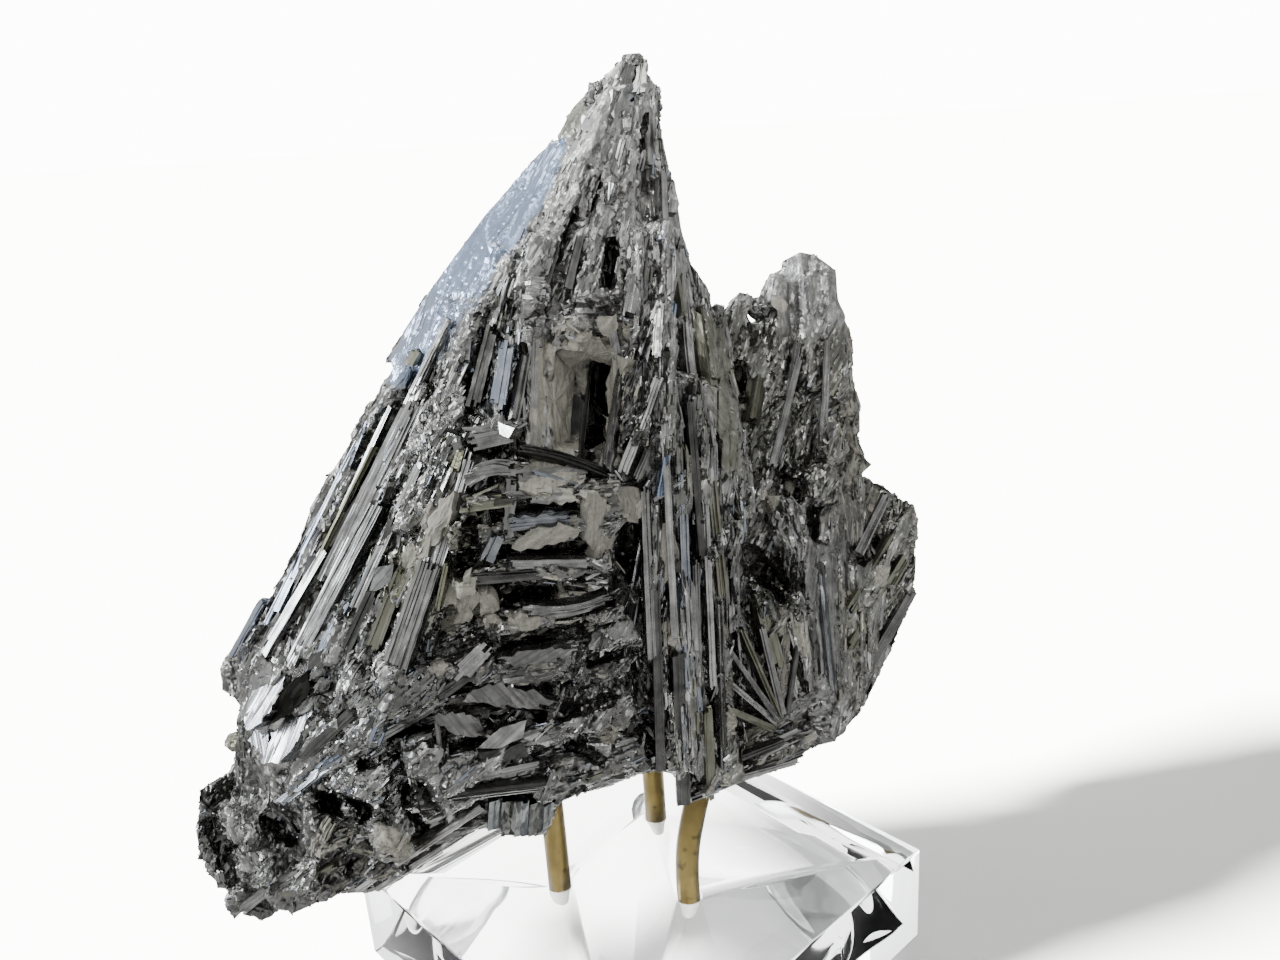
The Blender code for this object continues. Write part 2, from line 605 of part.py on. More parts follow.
def build_cluster(parts):
    """Fuses masses, crystals and rubble into one solid, then opens its hollows and rod sockets."""
    growth = new_collection(GROWTH_NAME)
    for name, points in MASSES.items():
        hull(name, [Vector(point) * MM for point in points], growth)
    for name, patch in PATCHES.items():
        grow_patch(name, patch, growth)
    for name, spec in CRYSTALS.items():
        facing = Vector(spec.facing)
        foot, tip = Vector(spec.foot) * MM, Vector(spec.tip) * MM
        width, thickness = spec.width * MM, spec.thickness * MM
        crystal(name, foot, tip, width, thickness, facing, spec.taper, spec.slant, growth)
    grow_fan(growth)
    for name, rubble in RUBBLE.items():
        grow_rubble(name, rubble, growth)
    hollows = new_collection("hollow_cutters")
    for name, hollow in HOLLOWS.items():
        cut_hollow(name, hollow, hollows)
    for name, route in ROD_ROUTES.items():
        long_route = [*route[:-1], route[-1] + (route[-1] - route[-2]).normalized() * GAP]
        radius = ROD_DIAMETER / 2 + GAP
        as_helper(rod_tube(f"{name}_socket", smooth_route(long_route), radius, hollows))
    seed = growth.objects["body"]
    growth.objects.unlink(seed)
    parts.objects.link(seed)
    add_boolean(seed, "fuse", "UNION", growth)
    add_boolean(seed, "open_hollows", "DIFFERENCE", hollows)
    bpy.context.view_layer.update()
    mesh = evaluated_mesh(seed)
    bpy.data.objects.remove(seed, do_unlink=True)
    cluster = keep_largest_skin(mesh, "stibnite_cluster", parts)
    thin = cluster.modifiers.new("drop_slivers", "DECIMATE")
    thin.ratio = CLUSTER_TRIANGLES / len(cluster.data.polygons)
    for helpers in (growth, hollows):
        for obj in list(helpers.objects):
            bpy.data.objects.remove(obj, do_unlink=True)
        bpy.data.collections.remove(helpers)
    cluster.data.materials.append(new_material("stibnite", (0.17, 0.17, 0.175), 0.32, 0.9))
    return cluster


# Display stand


def build_block(parts, cutters):
    """The square block with a blind hole for each rod."""
    bm = bmesh.new()
    bmesh.ops.create_cube(bm, size=1.0)
    bmesh.ops.scale(bm, vec=(BLOCK_SIDE, BLOCK_SIDE, BLOCK_THICKNESS), verts=bm.verts[:])
    block = object_from_bmesh("acrylic_base", bm, parts)
    block.location = (0, 0, FOOT_HEIGHT + BLOCK_THICKNESS / 2)
    block.rotation_euler = (0, 0, BLOCK_TURN)
    bevel = block.modifiers.new("eased_edges", "BEVEL")
    bevel.width = BLOCK_EDGE_BEVEL
    bevel.segments = 2
    for name, route in ROD_ROUTES.items():
        bm = bmesh.new()
        bmesh.ops.create_cone(
            bm,
            cap_ends=True,
            segments=HOLE_SIDES,
            radius1=ROD_DIAMETER / 2 + GAP,
            radius2=ROD_DIAMETER / 2 + GAP,
            depth=2 * ROD_HOLE_DEPTH,
        )
        hole = as_helper(object_from_bmesh(f"{name}_hole", bm, cutters))
        hole.location = (route[0].x, route[0].y, BLOCK_TOP)
        add_boolean(block, f"{name}_hole", "DIFFERENCE", hole)
    block.data.materials.append(new_material("clear_acrylic", (0.95, 0.97, 0.97), 0.03, 0.0, 1.0, 1.49))
    return block


def build_rods(parts):
    brass = new_material("brass", (0.56, 0.41, 0.16), 0.34, 1.0)
    for name, route in ROD_ROUTES.items():
        rod = rod_tube(name, smooth_route(route), ROD_DIAMETER / 2, parts)
        rod.data.shade_smooth()
        rod.data.set_sharp_from_angle(angle=math.radians(40))
        rod.data.materials.append(brass)


def foot_profile():
    """The half section of a domed bumper, from the centre of its top out and down to its flat."""
    top = FOOT_HEIGHT - GAP
    outer = FOOT_DIAMETER / 2
    flat = FOOT_FLAT_DIAMETER / 2
    steps = 5
    points = [(0.0, top), (outer, top)]
    for step in range(steps + 1):
        angle = math.pi / 2 * step / steps
        radius = flat + (outer - flat) * math.cos(angle)
        points.append((radius, (top - FOOT_RIM) * (1 - math.sin(angle))))
    points.append((0.0, 0.0))
    return points


def build_feet(parts):
    """Four domed bumpers, one in from each corner of the block."""
    clear = new_material("clear_bumper", (0.93, 0.94, 0.94), 0.12, 0.0, 1.0, 1.49)
    reach = BLOCK_SIDE / 2 - FOOT_INSET
    turn = Matrix.Rotation(BLOCK_TURN, 3, "Z")
    for name, (side, depth) in FOOT_SIGNS.items():
        mesh = bpy.data.meshes.new(name)
        profile = foot_profile()
        edges = [(i, i + 1) for i in range(len(profile) - 1)]
        mesh.from_pydata([(radius, 0, height) for radius, height in profile], edges, [])
        foot = bpy.data.objects.new(name, mesh)
        foot.location = turn @ Vector((side * reach, depth * reach, 0))
        parts.objects.link(foot)
        screw = foot.modifiers.new("turned", "SCREW")
        screw.steps = FOOT_SIDES
        screw.render_steps = FOOT_SIDES
        screw.use_merge_vertices = True
        screw.merge_threshold = 0.01 * MM
        mesh.materials.append(clear)


def centre_on_footprint(parts):
    """Moves everything so that the box round all pieces is centred on x = y = 0."""
    bpy.context.view_layer.update()
    graph = bpy.context.evaluated_depsgraph_get()
    corners = []
    for obj in parts.objects:
        evaluated = obj.evaluated_get(graph)
        corners += [evaluated.matrix_world @ Vector(corner) for corner in evaluated.bound_box]
    middle_x = (min(c.x for c in corners) + max(c.x for c in corners)) / 2
    middle_y = (min(c.y for c in corners) + max(c.y for c in corners)) / 2
    for obj in bpy.data.objects:
        obj.location.x -= middle_x
        obj.location.y -= middle_y


def main():
    remove_all_objects()
    parts = new_collection(OBJECT_NAME)
    cutters = new_collection(CUTTERS_NAME)
    cutters.hide_render = True
    build_cluster(parts)
    build_block(parts, cutters)
    build_rods(parts)
    build_feet(parts)
    centre_on_footprint(parts)


main()
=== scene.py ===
"""Looks of a stibnite crystal spray on its clear display base.

Tables are in millimetres. Places on the show face are given in pixels of the 1280 x 960 view and are put on
the crystals along the camera's own rays, so a piece sits on what carries it from any side.
"""

import logging
import math
from dataclasses import dataclass
from enum import Enum
from functools import partial
from typing import Any, Callable, ClassVar, Iterable, Sequence

import bmesh
import bpy
import numpy as np
from mathutils import Matrix, Vector
from mathutils.bvhtree import BVHTree


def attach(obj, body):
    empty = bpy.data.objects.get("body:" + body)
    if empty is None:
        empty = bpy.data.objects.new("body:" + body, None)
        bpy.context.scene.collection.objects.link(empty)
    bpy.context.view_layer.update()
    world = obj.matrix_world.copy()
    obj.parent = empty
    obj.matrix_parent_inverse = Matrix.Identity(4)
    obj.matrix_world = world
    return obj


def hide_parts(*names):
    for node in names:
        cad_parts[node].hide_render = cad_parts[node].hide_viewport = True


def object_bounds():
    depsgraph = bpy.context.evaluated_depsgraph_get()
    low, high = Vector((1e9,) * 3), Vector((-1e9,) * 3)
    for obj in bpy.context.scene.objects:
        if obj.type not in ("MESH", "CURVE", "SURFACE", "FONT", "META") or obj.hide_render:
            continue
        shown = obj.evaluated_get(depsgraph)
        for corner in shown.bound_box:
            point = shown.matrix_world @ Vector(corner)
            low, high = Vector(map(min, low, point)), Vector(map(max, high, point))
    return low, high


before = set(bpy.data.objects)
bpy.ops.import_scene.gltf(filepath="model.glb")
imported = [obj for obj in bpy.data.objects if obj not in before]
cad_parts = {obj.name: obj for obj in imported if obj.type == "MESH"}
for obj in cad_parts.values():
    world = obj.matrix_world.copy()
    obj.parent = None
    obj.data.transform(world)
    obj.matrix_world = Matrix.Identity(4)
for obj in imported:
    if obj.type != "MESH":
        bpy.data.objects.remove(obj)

LOG = logging.getLogger("stibnite_spray")
CAD_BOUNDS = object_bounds()
MM = 0.001
CLUSTER_NODE = "stibnite_cluster"
BLOCK_NODE = "acrylic_base"
ROD_NODES = ("brass_rod_left", "brass_rod_back", "brass_rod_right")
FOOT_NODES = ("bumper_foot_front", "bumper_foot_right", "bumper_foot_back", "bumper_foot_left")

Pixel = tuple[float, float]
Place = tuple[float, float, float]
Array = np.ndarray


class Slot(Enum):
    """The record's material slots."""

    STIBNITE = "stibnite"
    ACRYLIC = "clear_acrylic"
    BRASS = "brass"
    BUMPER = "clear_bumper"


# ---------------------------------------------------------------- small tools


def linear(code: str) -> tuple[float, float, float, float]:
    """Turns an sRGB hex colour to linear light.

    Args:
        code: A colour such as "#8a8a88".

    Returns:
        Red, green, blue and alpha.
    """
    shares = [int(code[i : i + 2], 16) / 255 for i in (1, 3, 5)]
    levels = [s / 12.92 if s <= 0.04045 else ((s + 0.055) / 1.055) ** 2.4 for s in shares]
    return (*levels, 1.0)


def unit(vectors: Array) -> Array:
    """Scales each row to length one.

    Args:
        vectors: Rows of three.

    Returns:
        The same rows at unit length.
    """
    return vectors / np.maximum(np.linalg.norm(vectors, axis=-1, keepdims=True), 1e-9)


def lattice_noise(points: Array, seed: int) -> Array:
    """Smooth noise with one bump to a unit cell.

    Args:
        points: Rows of three, in cells.
        seed: Picks the pattern.

    Returns:
        A value from -1 to 1 for each row.
    """
    base = np.floor(points).astype(np.int64)
    share = points - base
    share = share * share * (3 - 2 * share)
    total = np.zeros(len(points))
    for corner in np.ndindex(2, 2, 2):
        cell = base + np.array(corner)
        key = cell[:, 0] * 73856093 ^ cell[:, 1] * 19349663 ^ cell[:, 2] * 83492791 ^ seed * 2654435
        key = (key ^ (key >> 13)) * 1274126177 & 0x7FFFFFFF
        value = ((key ^ (key >> 16)) & 0xFFFF) / 0xFFFF * 2 - 1
        total += value * np.prod(np.where(corner, share, 1 - share), axis=1)
    return total


def smoothstep(low: float, high: float, value: Array) -> Array:
    """Eases from 0 at low to 1 at high."""
    share = np.clip((value - low) / (high - low), 0, 1)
    return share * share * (3 - 2 * share)


def mesh_object(name: str, points: Array, faces: Sequence[Sequence[int]]) -> bpy.types.Object:
    """Makes a mesh object at the origin from points in millimetres.

    Args:
        name: The object's name.
        points: Rows of x, y and z in millimetres.
        faces: Vertex numbers of each face.

    Returns:
        The new object, linked to the scene.
    """
    mesh = bpy.data.meshes.new(name)
    mesh.from_pydata((np.asarray(points) * MM).tolist(), [], faces)
    obj = bpy.data.objects.new(name, mesh)
    bpy.context.scene.collection.objects.link(obj)
    return obj


def store(mesh: bpy.types.Mesh, name: str, values: Array) -> None:
    """Stores a number or a vector for each point of a mesh.

    Args:
        mesh: The mesh.
        name: The attribute's name.
        values: One value, or one row of three, for each point.
    """
    kind, key = ("FLOAT_VECTOR", "vector") if values.ndim == 2 else ("FLOAT", "value")
    attribute = mesh.attributes.get(name) or mesh.attributes.new(name, kind, "POINT")
    attribute.data.foreach_set(key, np.ascontiguousarray(values, np.float32).ravel())


def points_of(mesh: bpy.types.Mesh) -> Array:
    """A mesh's points in millimetres."""
    flat = np.empty(len(mesh.vertices) * 3, np.float32)
    mesh.vertices.foreach_get("co", flat)
    return flat.reshape(-1, 3).astype(float) / MM


def normals_of(mesh: bpy.types.Mesh) -> Array:
    """A mesh's normals at its points."""
    flat = np.empty(len(mesh.vertices) * 3, np.float32)
    mesh.vertex_normals.foreach_get("vector", flat)
    return flat.reshape(-1, 3).astype(float)


def triangles_of(mesh: bpy.types.Mesh) -> Array:
    """A mesh's triangles as rows of three point numbers."""
    mesh.calc_loop_triangles()
    flat = np.empty(len(mesh.loop_triangles) * 3, np.int32)
    mesh.loop_triangles.foreach_get("vertices", flat)
    return flat.reshape(-1, 3)


def evaluated(obj: bpy.types.Object) -> bpy.types.Mesh:
    """The mesh that an object's modifiers make."""
    graph = bpy.context.evaluated_depsgraph_get()
    return bpy.data.meshes.new_from_object(obj.evaluated_get(graph))


def merged_copy(node: str, name: str) -> bpy.types.Object:
    """Copies a CAD node's mesh with its doubles merged.

    Args:
        node: The CAD node.
        name: The copy's name.

    Returns:
        The copy, linked to the scene.
    """
    obj = mesh_object(name, np.zeros((0, 3)), [])
    bm = bmesh.new()
    bm.from_mesh(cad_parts[node].data)
    bmesh.ops.remove_doubles(bm, verts=bm.verts[:], dist=1e-6)
    bm.to_mesh(obj.data)
    bm.free()
    return obj


def face_outwards(obj: bpy.types.Object) -> None:
    """Splits faces with more than four corners and turns every face outwards."""
    bm = bmesh.new()
    bm.from_mesh(obj.data)
    bmesh.ops.triangulate(bm, faces=[face for face in bm.faces if len(face.verts) > 4])
    bmesh.ops.recalc_face_normals(bm, faces=bm.faces[:])
    bm.to_mesh(obj.data)
    bm.free()


def dress(obj: bpy.types.Object, finish: bpy.types.Material, nodes: Iterable[str] = ()) -> None:
    """Gives a piece its finish and its place in the frame.

    Args:
        obj: The piece.
        finish: Its material.
        nodes: The CAD nodes that it stands for, if any.
    """
    if not obj.data.materials:
        obj.data.materials.append(finish)
    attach(obj, "root")
    if nodes:
        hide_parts(*nodes)
    obj.data.calc_loop_triangles()
    LOG.info("%s: %d triangles", obj.name, len(obj.data.loop_triangles))


# ---------------------------------------------------------------- the view


@dataclass(frozen=True)
class Sight:
    """The show view: where the camera stands and how its pixels fall."""

    stand: Place = (9.53, -125.75, 117.78)
    pitch: float = 18.58
    roll: float = 3.90
    focal_pixels: float = 1053.9
    width: float = 1280
    height: float = 960

    def axes(self) -> tuple[Array, Array, Array]:
        """The view's right, up and forward directions."""
        pitch, roll = math.radians(self.pitch), math.radians(self.roll)
        level = np.array([1.0, 0.0, 0.0])
        rise = np.array([0.0, math.sin(pitch), math.cos(pitch)])
        right = math.cos(roll) * level - math.sin(roll) * rise
        up = math.cos(roll) * rise + math.sin(roll) * level
        return right, up, np.array([0.0, math.cos(pitch), -math.sin(pitch)])

    def direction(self, pixel: Pixel) -> Array:
        """The unit ray through a pixel."""
        right, up, forward = self.axes()
        across = (pixel[0] - self.width / 2) / self.focal_pixels
        down = (pixel[1] - self.height / 2) / self.focal_pixels
        return unit(forward + right * across - up * down)

    def project(self, points: Array) -> tuple[Array, Array]:
        """Finds where points fall in the view.

        Args:
            points: Rows of x, y and z in millimetres.

        Returns:
            Pixels as rows of two, and the depth of each point in millimetres.
        """
        right, up, forward = self.axes()
        away = np.asarray(points) - np.array(self.stand)
        depth = away @ forward
        across = self.width / 2 + self.focal_pixels * (away @ right) / depth
        down = self.height / 2 - self.focal_pixels * (away @ up) / depth
        return np.stack([across, down], axis=-1), depth

    def camera(self) -> bpy.types.Object:
        """Makes the camera object."""
        right, up, forward = self.axes()
        data = bpy.data.cameras.new("show_camera")
        data.sensor_width = 36.0
        data.lens = data.sensor_width * self.focal_pixels / self.width
        data.clip_start = 0.005
        turn = Matrix((right, up, -forward)).transposed().to_4x4()
        obj = bpy.data.objects.new("show_camera", data)
        obj.matrix_world = Matrix.Translation(Vector(self.stand) * MM) @ turn
        bpy.context.scene.collection.objects.link(obj)
        return obj


SIGHT = Sight()


class Datum:
    """The smoothed front of the crystals as the camera meets it, with its hollows bridged."""

    STEP = 8  # pixels between rays
    REACH = 3  # steps that a hollow is bridged over

    def __init__(self, tree: BVHTree) -> None:
        """Meets the solid with a grid of rays.

        Args:
            tree: The solid's triangles, in millimetres.
        """
        self.across = np.arange(0, SIGHT.width + self.STEP, self.STEP)
        self.down = np.arange(0, SIGHT.height + self.STEP, self.STEP)
        depth = np.full((len(self.down), len(self.across)), np.nan)
        stand = Vector(SIGHT.stand)
        for row, y in enumerate(self.down):
            for column, x in enumerate(self.across):
                hit = tree.ray_cast(stand, Vector(SIGHT.direction((x, y))))
                if hit[0] is not None:
                    depth[row, column] = hit[3]
        self.depth = self._spread(self._close(depth))

    def _neighbours(self, grid: Array, reach: int) -> Array:
        """Every copy of a grid shifted by up to a number of steps."""
        padded = np.pad(grid, reach, constant_values=np.nan)
        rows, columns = grid.shape
        size = 2 * reach + 1
        shifts = [padded[r : r + rows, c : c + columns] for r in range(size) for c in range(size)]
        return np.stack(shifts)

    def _close(self, depth: Array) -> Array:
        """Bridges hollows: the nearest depth round each ray, then the farthest of those."""
        known = ~np.isnan(depth)
        near = np.nanmin(np.where(known, depth, 1e6)[None], axis=0)
        near = np.nanmin(self._neighbours(near, self.REACH), axis=0)
        near[near > 1e5] = np.nan
        far = np.nanmax(np.nan_to_num(self._neighbours(near, self.REACH), nan=-1), axis=0)
        far[~known] = np.nan
        return far

    def _spread(self, depth: Array) -> Array:
        """Smooths the grid and carries it on past the outline."""
        for _ in range(60):
            shifts = self._neighbours(depth, 1)
            counts = np.sum(~np.isnan(shifts), axis=0)
            mean = np.nansum(shifts, axis=0) / np.maximum(counts, 1)
            grown = np.where(np.isnan(depth) & (counts > 0), mean, depth)
            if not np.isnan(grown).any():
                break
            depth = grown
        depth = np.nan_to_num(depth, nan=float(np.nanmean(depth)))
        for _ in range(3):
            depth = self._neighbours(np.pad(depth, 1, mode="edge"), 1)[:, 1:-1, 1:-1].mean(axis=0)
        return depth

    def place(self, pixel: Pixel, proud: float = 0.0) -> Array:
        """The point behind a pixel, in millimetres.

        Args:
            pixel: Right and down in the view.
            proud: How far it stands out towards the camera from the front, in millimetres.

        Returns:
            x, y and z.
        """
        column = np.clip(pixel[0] / self.STEP, 0, len(self.across) - 1.001)
        row = np.clip(pixel[1] / self.STEP, 0, len(self.down) - 1.001)
        c, r = int(column), int(row)
        across, down = column - c, row - r
        top = self.depth[r, c] * (1 - across) + self.depth[r, c + 1] * across
        bottom = self.depth[r + 1, c] * (1 - across) + self.depth[r + 1, c + 1] * across
        depth = top * (1 - down) + bottom * down - proud
        return np.array(SIGHT.stand) + SIGHT.direction(pixel) * depth


# The outline that the crystals fill in the show view, clockwise from the tip down the left side.
OUTLINE: tuple[Pixel, ...] = (
    (632, 50), (590, 90), (575, 105), (545, 145), (485, 215), (430, 290), (385, 360), (350, 420),
    (300, 540), (250, 640), (222, 660), (222, 690), (240, 700), (235, 770), (200, 790), (197, 870),
    (205, 915), (240, 925), (290, 915), (345, 890), (370, 893), (400, 880), (480, 825), (500, 835),
    (545, 835), (560, 800), (590, 790), (650, 770), (675, 770), (680, 805), (720, 790), (775, 770),
    (800, 750), (840, 740), (860, 710), (890, 650), (912, 600), (915, 545), (920, 520), (905, 490),
    (860, 455), (860, 405), (850, 370), (853, 330), (838, 300), (836, 270), (815, 255), (800, 252),
    (775, 265), (757, 297), (740, 292), (720, 310), (715, 300), (690, 265), (680, 230), (675, 190),
    (660, 140), (660, 80), (645, 60),
)


def outline_distance(pixels: Array, outline: tuple[Pixel, ...] = OUTLINE) -> tuple[Array, Array]:
    """Measures pixels against an outline.

    Args:
        pixels: Rows of two.
        outline: Its corners in order.

    Returns:
        The signed distance of each, positive outside, and the nearest place on the outline.
    """
    corners = np.array(outline, float)
    best = np.full(len(pixels), np.inf)
    nearest = np.zeros((len(pixels), 2))
    inside = np.zeros(len(pixels), bool)
    for start, end in zip(corners, np.roll(corners, -1, axis=0)):
        run = end - start
        share = np.clip((pixels - start) @ run / (run @ run), 0, 1)
        place = start + share[:, None] * run
        away = np.linalg.norm(pixels - place, axis=1)
        closer = away < best
        best[closer] = away[closer]
        nearest[closer] = place[closer]
        crosses = (start[1] > pixels[:, 1]) != (end[1] > pixels[:, 1])
        slope = run[0] / run[1] if run[1] else 0.0
        inside ^= crosses & (pixels[:, 0] < start[0] + (pixels[:, 1] - start[1]) * slope)
    return np.where(inside, -best, best), nearest


# ---------------------------------------------------------------- how the crystals grow


@dataclass(frozen=True)
class Habit:
    """How crystals grow round one place on the cluster.

    at is a pixel on the show face, or a place in millimetres elsewhere, and heading is the way that the
    crystals point, as right and down in the view or as x, y and z. reach is in millimetres and wander in
    degrees. laths to grains say how thickly each size of crystal grows, and the rest are shares of finish.
    stature stretches the crystals, and a tone over 1 is lighter than a fresh face.
    """

    at: tuple[float, ...]
    heading: tuple[float, ...]
    reach: float = 8.0
    wander: float = 7.0
    laths: float = 1.0
    blades: float = 1.0
    splinters: float = 1.0
    grains: float = 0.2
    crust: float = 0.15
    blue: float = 0.03
    gold: float = 0.02
    gloss: float = 0.5
    relief: float = 1.0
    stature: float = 1.0
    tone: float = 0.42


